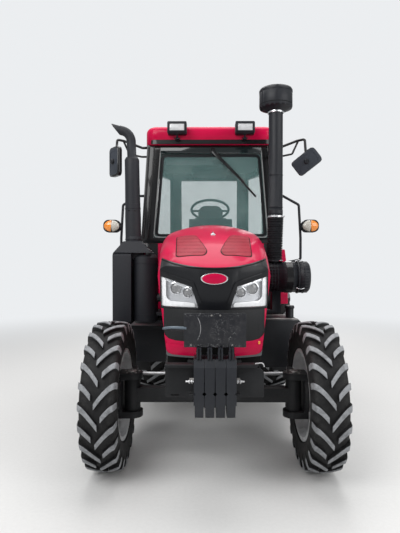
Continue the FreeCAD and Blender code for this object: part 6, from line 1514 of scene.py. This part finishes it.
def engine_details():
    dark = []
    bright = []
    for side in (-1, 1):
        for y in (-0.94, -0.80, -0.66, -0.52):
            dark.append(side_block("rib", side, (0.20, y - 0.008, 0.72), (0.212, y + 0.008, 1.16), 0.004))
        bright.append(bolts("b", 0.008, [(side * 0.2005, y, 0.655)
                                         for y in (-0.95, -0.85, -0.75, -0.65, -0.55, -0.45)],
                            (side, 0, 0)))
    dark.append(lathe("filter_head", [(0, 0.0), (0.052, 0.0), (0.052, 0.035), (0.03, 0.05), (0, 0.05)],
                      (0.262, -0.86, 0.955), UP, 32))
    filters = [lathe("oil_filter", [(0, -0.165), (0.036, -0.165), (0.046, -0.15), (0.048, -0.01),
                                    (0.044, 0), (0, 0)], (0.262, -0.86, 0.955), UP, 40),
               lathe("fuel_filter", [(0, -0.14), (0.028, -0.14), (0.038, -0.125), (0.04, -0.01), (0.036, 0),
                                     (0, 0)], (0.262, -0.72, 0.985), UP, 40)]
    dark.append(block("mount", (0.19, -0.90, 0.945), (0.31, -0.68, 0.975), 0.006, 2))
    dark.append(lathe("starter", [(0, -0.11), (0.05, -0.11), (0.055, -0.1), (0.055, 0.08), (0.035, 0.09),
                                  (0.035, 0.13), (0, 0.13)], (-0.245, -0.56, 0.78), BACK, 36))
    dark.append(lathe("solenoid", [(0, -0.05), (0.026, -0.05), (0.028, 0.05), (0, 0.05)],
                      (-0.245, -0.60, 0.86), BACK, 28))
    bright.append(lathe("alternator", [(0, -0.07), (0.05, -0.07), (0.07, -0.055), (0.072, 0.05),
                                       (0.05, 0.065), (0, 0.065)], (-0.26, -0.95, 1.02), BACK, 40))
    dark.append(lathe("pulley", [(0, -0.03), (0.04, -0.03), (0.045, -0.02), (0.036, -0.012),
                                 (0.045, -0.004), (0, 0)], (-0.26, -1.022, 1.02), BACK, 36))
    dark.append(block("pump", (0.20, -0.62, 0.86), (0.29, -0.44, 0.99), 0.012, 3))
    pipes = []
    for y in (-0.60, -0.555, -0.51, -0.465):
        route = [(0.25, y, 0.985), (0.255, y, 1.04), (0.235, y - 0.02, 1.10), (0.205, y - 0.05, 1.16)]
        pipes.append(tube("line", route, 0.004, 8))
    manifold = [tube("manifold", [(-0.23, -0.98, 1.18), (-0.255, -0.90, 1.19), (-0.26, -0.75, 1.19),
                                  (-0.255, -0.55, 1.19), (-0.23, -0.48, 1.18)], 0.034, 20)]
    for y in (-0.92, -0.78, -0.64, -0.52):
        manifold.append(bar("runner", (-0.195, y, 1.17), (-0.25, y, 1.19), 0.026, 20, 0.003))
    manifold.append(tube("downpipe", [(-0.26, -0.74, 1.19), (-0.34, -0.74, 1.20), (-0.42, -0.74, 1.19),
                                      (-0.50, -0.74, 1.17)], 0.036, 20))
    show("engine_castings", dark, CHASSIS)
    show("engine_fittings", bright, WORN_STEEL)
    show("engine_filters", filters, FILTER_WHITE)
    show("injector_lines", pipes, STEEL)
    show("exhaust_manifold", manifold, EXHAUST)
    hoses = [tube("hose", [(0.16, -1.40, 1.33), (0.20, -1.30, 1.36), (0.21, -1.10, 1.33),
                           (0.16, -1.0, 1.29)], 0.024, 18),
             tube("intake", [(0.44, -0.80, 1.33), (0.36, -0.80, 1.35), (0.28, -0.84, 1.34),
                             (0.22, -0.88, 1.28)], 0.042, 22)]
    show("engine_hoses", hoses, RUBBER)


def side_details():
    outline = [(0.396, 0.556), (0.732, 0.556), (0.7945, 0.6185), (0.7945, 0.947), (0.7622, 0.979),
               (0.396, 0.979)]
    straps = []
    for y in (-0.52, -0.25):
        straps.append(rim_of("strap", [(x, z, y) for x, z in outline], 0.006, 0.04, 0.0015))
        straps.append(bar("strap_bolt", (0.797, y + 0.02, 0.70), (0.797, y + 0.02, 0.76), 0.006, 12, 0.001))
    show("tank_straps", straps, WORN_STEEL)
    cap = lathe("tank_cap", [(0, 0.028), (0.034, 0.028), (0.042, 0.022), (0.044, 0.004), (0.040, 0.0),
                             (0, 0)], (0.715, -0.385, 1.056), UP, 16)
    fit(cap, "tractor", PLASTIC)
    lid = [block("lid", (-0.797, -0.542, 0.885), (-0.395, -0.208, 0.922), 0.008, 3),
           block("latch", (-0.803, -0.40, 0.85), (-0.79, -0.35, 0.90), 0.003, 2),
           block("rib", (-0.7945, -0.52, 0.70), (-0.788, -0.23, 0.715), 0.003, 2),
           block("rib", (-0.7945, -0.52, 0.78), (-0.788, -0.23, 0.795), 0.003, 2)]
    show("battery_lid", lid, PLASTIC)
    treads = []
    for side in (-1, 1):
        for top, outer in ((0.466, 0.835), (0.741, 0.765)):
            for k in range(7):
                x = outer - 0.02 - k * 0.029
                treads.append(side_block("grip", side, (x - 0.006, -0.115, top - 0.001),
                                         (x + 0.006, 0.150, top + 0.006), 0.002, 1))
            treads.append(side_block("nosing", side, (outer - 0.012, -0.124, top - 0.03),
                                     (outer + 0.004, 0.159, top + 0.003)))
    show("step_grips", treads, WORN_STEEL)


def fender_details():
    spots = [(side * 0.49, y, 1.6105) for side in (-1, 1) for y in (0.55, 0.75, 0.95, 1.15, 1.28)]
    fit(bolts("fender_bolts", 0.009, spots, UP), "tractor", WORN_STEEL)


def rear_details():
    bits = [block("valve", (-0.215, 1.1895, 0.885), (-0.075, 1.232, 0.99), 0.008, 3)]
    caps = []
    for x in (-0.19, -0.145, -0.10):
        for z in (0.912, 0.962):
            bits.append(bar("socket", (x, 1.225, z), (x, 1.262, z), 0.014, 20, 0.002))
            caps.append(lathe("cap", [(0, 0.020), (0.012, 0.019), (0.017, 0.012), (0.017, -0.01),
                                      (0, -0.01)], (x, 1.262, z), BACK, 24))
    show("coupler_block", bits, WORN_STEEL)
    show("coupler_caps", caps, RED_CAP)
    shaft = bare("pto_shaft", "pto_splines")
    cutters = []
    for place in ring_of((0, 1.234, 0.64), 0.0185, 6, "y"):
        cutters.append(bar("groove", place, place + Vector((0, 0.08, 0)), 0.0042, 12))
    carve(shaft, joined("grooves", cutters))
    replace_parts(smooth(shaft, 30), "pto_shaft")
    fit(shaft, "pto_shaft", STEEL)
    bolts_rear = bolts("housing_bolts", 0.011, [(x, 1.1905, z) for x in (-0.19, 0.19)
                                                for z in (0.52, 0.60, 0.70, 0.80)], BACK)
    fit(bolts_rear, "tractor", WORN_STEEL)
    for side, word in SIDES:
        ring = ring_of((side * 0.545, *REAR_WHEEL[1:]), 0.125, 10, "x")
        piece = bolts("trumpet_bolts_" + word, 0.011, ring, (side, 0, 0))
        fit(piece, "tractor", WORN_STEEL)


hood_details()
headlamps()
front_end()
breathers()
cab_outside()
door_details()
seat()
cab_inside()
wheel_details()
axle_details()
engine_details()
side_details()
fender_details()
rear_details()


# Floor and light

def stage():
    bpy.ops.mesh.primitive_plane_add(size=120, location=(0, 0, -0.002))
    floor = bpy.context.object
    floor.name = "floor"
    f = Finish("pale_floor", roughness=0.8)
    grit = f.noise(40, 5, 0.6)
    f.feed("Base Color", f.blend(grit, (0.60, 0.595, 0.585), (0.68, 0.675, 0.665)))
    f.relief(f.noise(220, 3), 0.15, 0.002)
    x = f.along("x")
    y = f.along("y")
    far = ((x * x + y * y) ** 0.5).between(3.0, 9.0)
    path = f.tree.nodes.new("ShaderNodeLightPath")
    seen = Flow(f, path.outputs["Is Camera Ray"]).most(Flow(f, path.outputs["Is Glossy Ray"]))
    seen = seen.most(Flow(f, path.outputs["Is Transmission Ray"]))
    glow = f.node("ShaderNodeEmission", {}, {"Color": (0.93, 0.95, 0.97, 1), "Strength": 0.9})
    mixed = f.node("ShaderNodeMixShader", {}, {0: far * seen, 1: f.shader.outputs[0], 2: glow.outputs[0]})
    f.tree.links.new(mixed.outputs[0], f.output.inputs["Surface"])
    floor.data.materials.append(f.material)
    lamps = [("key", (-3.2, -5.0, 5.2), 4.0, 300), ("fill", (4.5, -4.0, 3.6), 4.0, 160),
             ("top", (0, 0.5, 6.5), 5.0, 260), ("back", (1.5, 6.0, 4.5), 4.0, 180)]
    for name, place, size, power in lamps:
        bpy.ops.object.light_add(type="AREA", location=place)
        lamp = bpy.context.object
        lamp.name = name
        lamp.data.size = size
        lamp.data.energy = power
        aim = Vector((0, 0, 1.1)) - Vector(place)
        lamp.rotation_mode = "QUATERNION"
        lamp.rotation_quaternion = aim.to_track_quat("-Z", "Y")
    world = bpy.data.worlds.new("pale_room")
    bpy.context.scene.world = world
    world.use_nodes = True
    tree = world.node_tree
    back = tree.nodes["Background"]
    path = tree.nodes.new("ShaderNodeLightPath")
    most = tree.nodes.new("ShaderNodeMath")
    most.operation = "MAXIMUM"
    tree.links.new(path.outputs["Is Camera Ray"], most.inputs[0])
    tree.links.new(path.outputs["Is Transmission Ray"], most.inputs[1])
    strength = tree.nodes.new("ShaderNodeMapRange")
    strength.inputs["To Min"].default_value = 0.45
    strength.inputs["To Max"].default_value = 0.9
    tree.links.new(most.outputs[0], strength.inputs["Value"])
    tree.links.new(strength.outputs[0], back.inputs["Strength"])
    back.inputs["Color"].default_value = (0.93, 0.95, 0.97, 1)
    bpy.context.scene.view_settings.view_transform = "Standard"


stage()
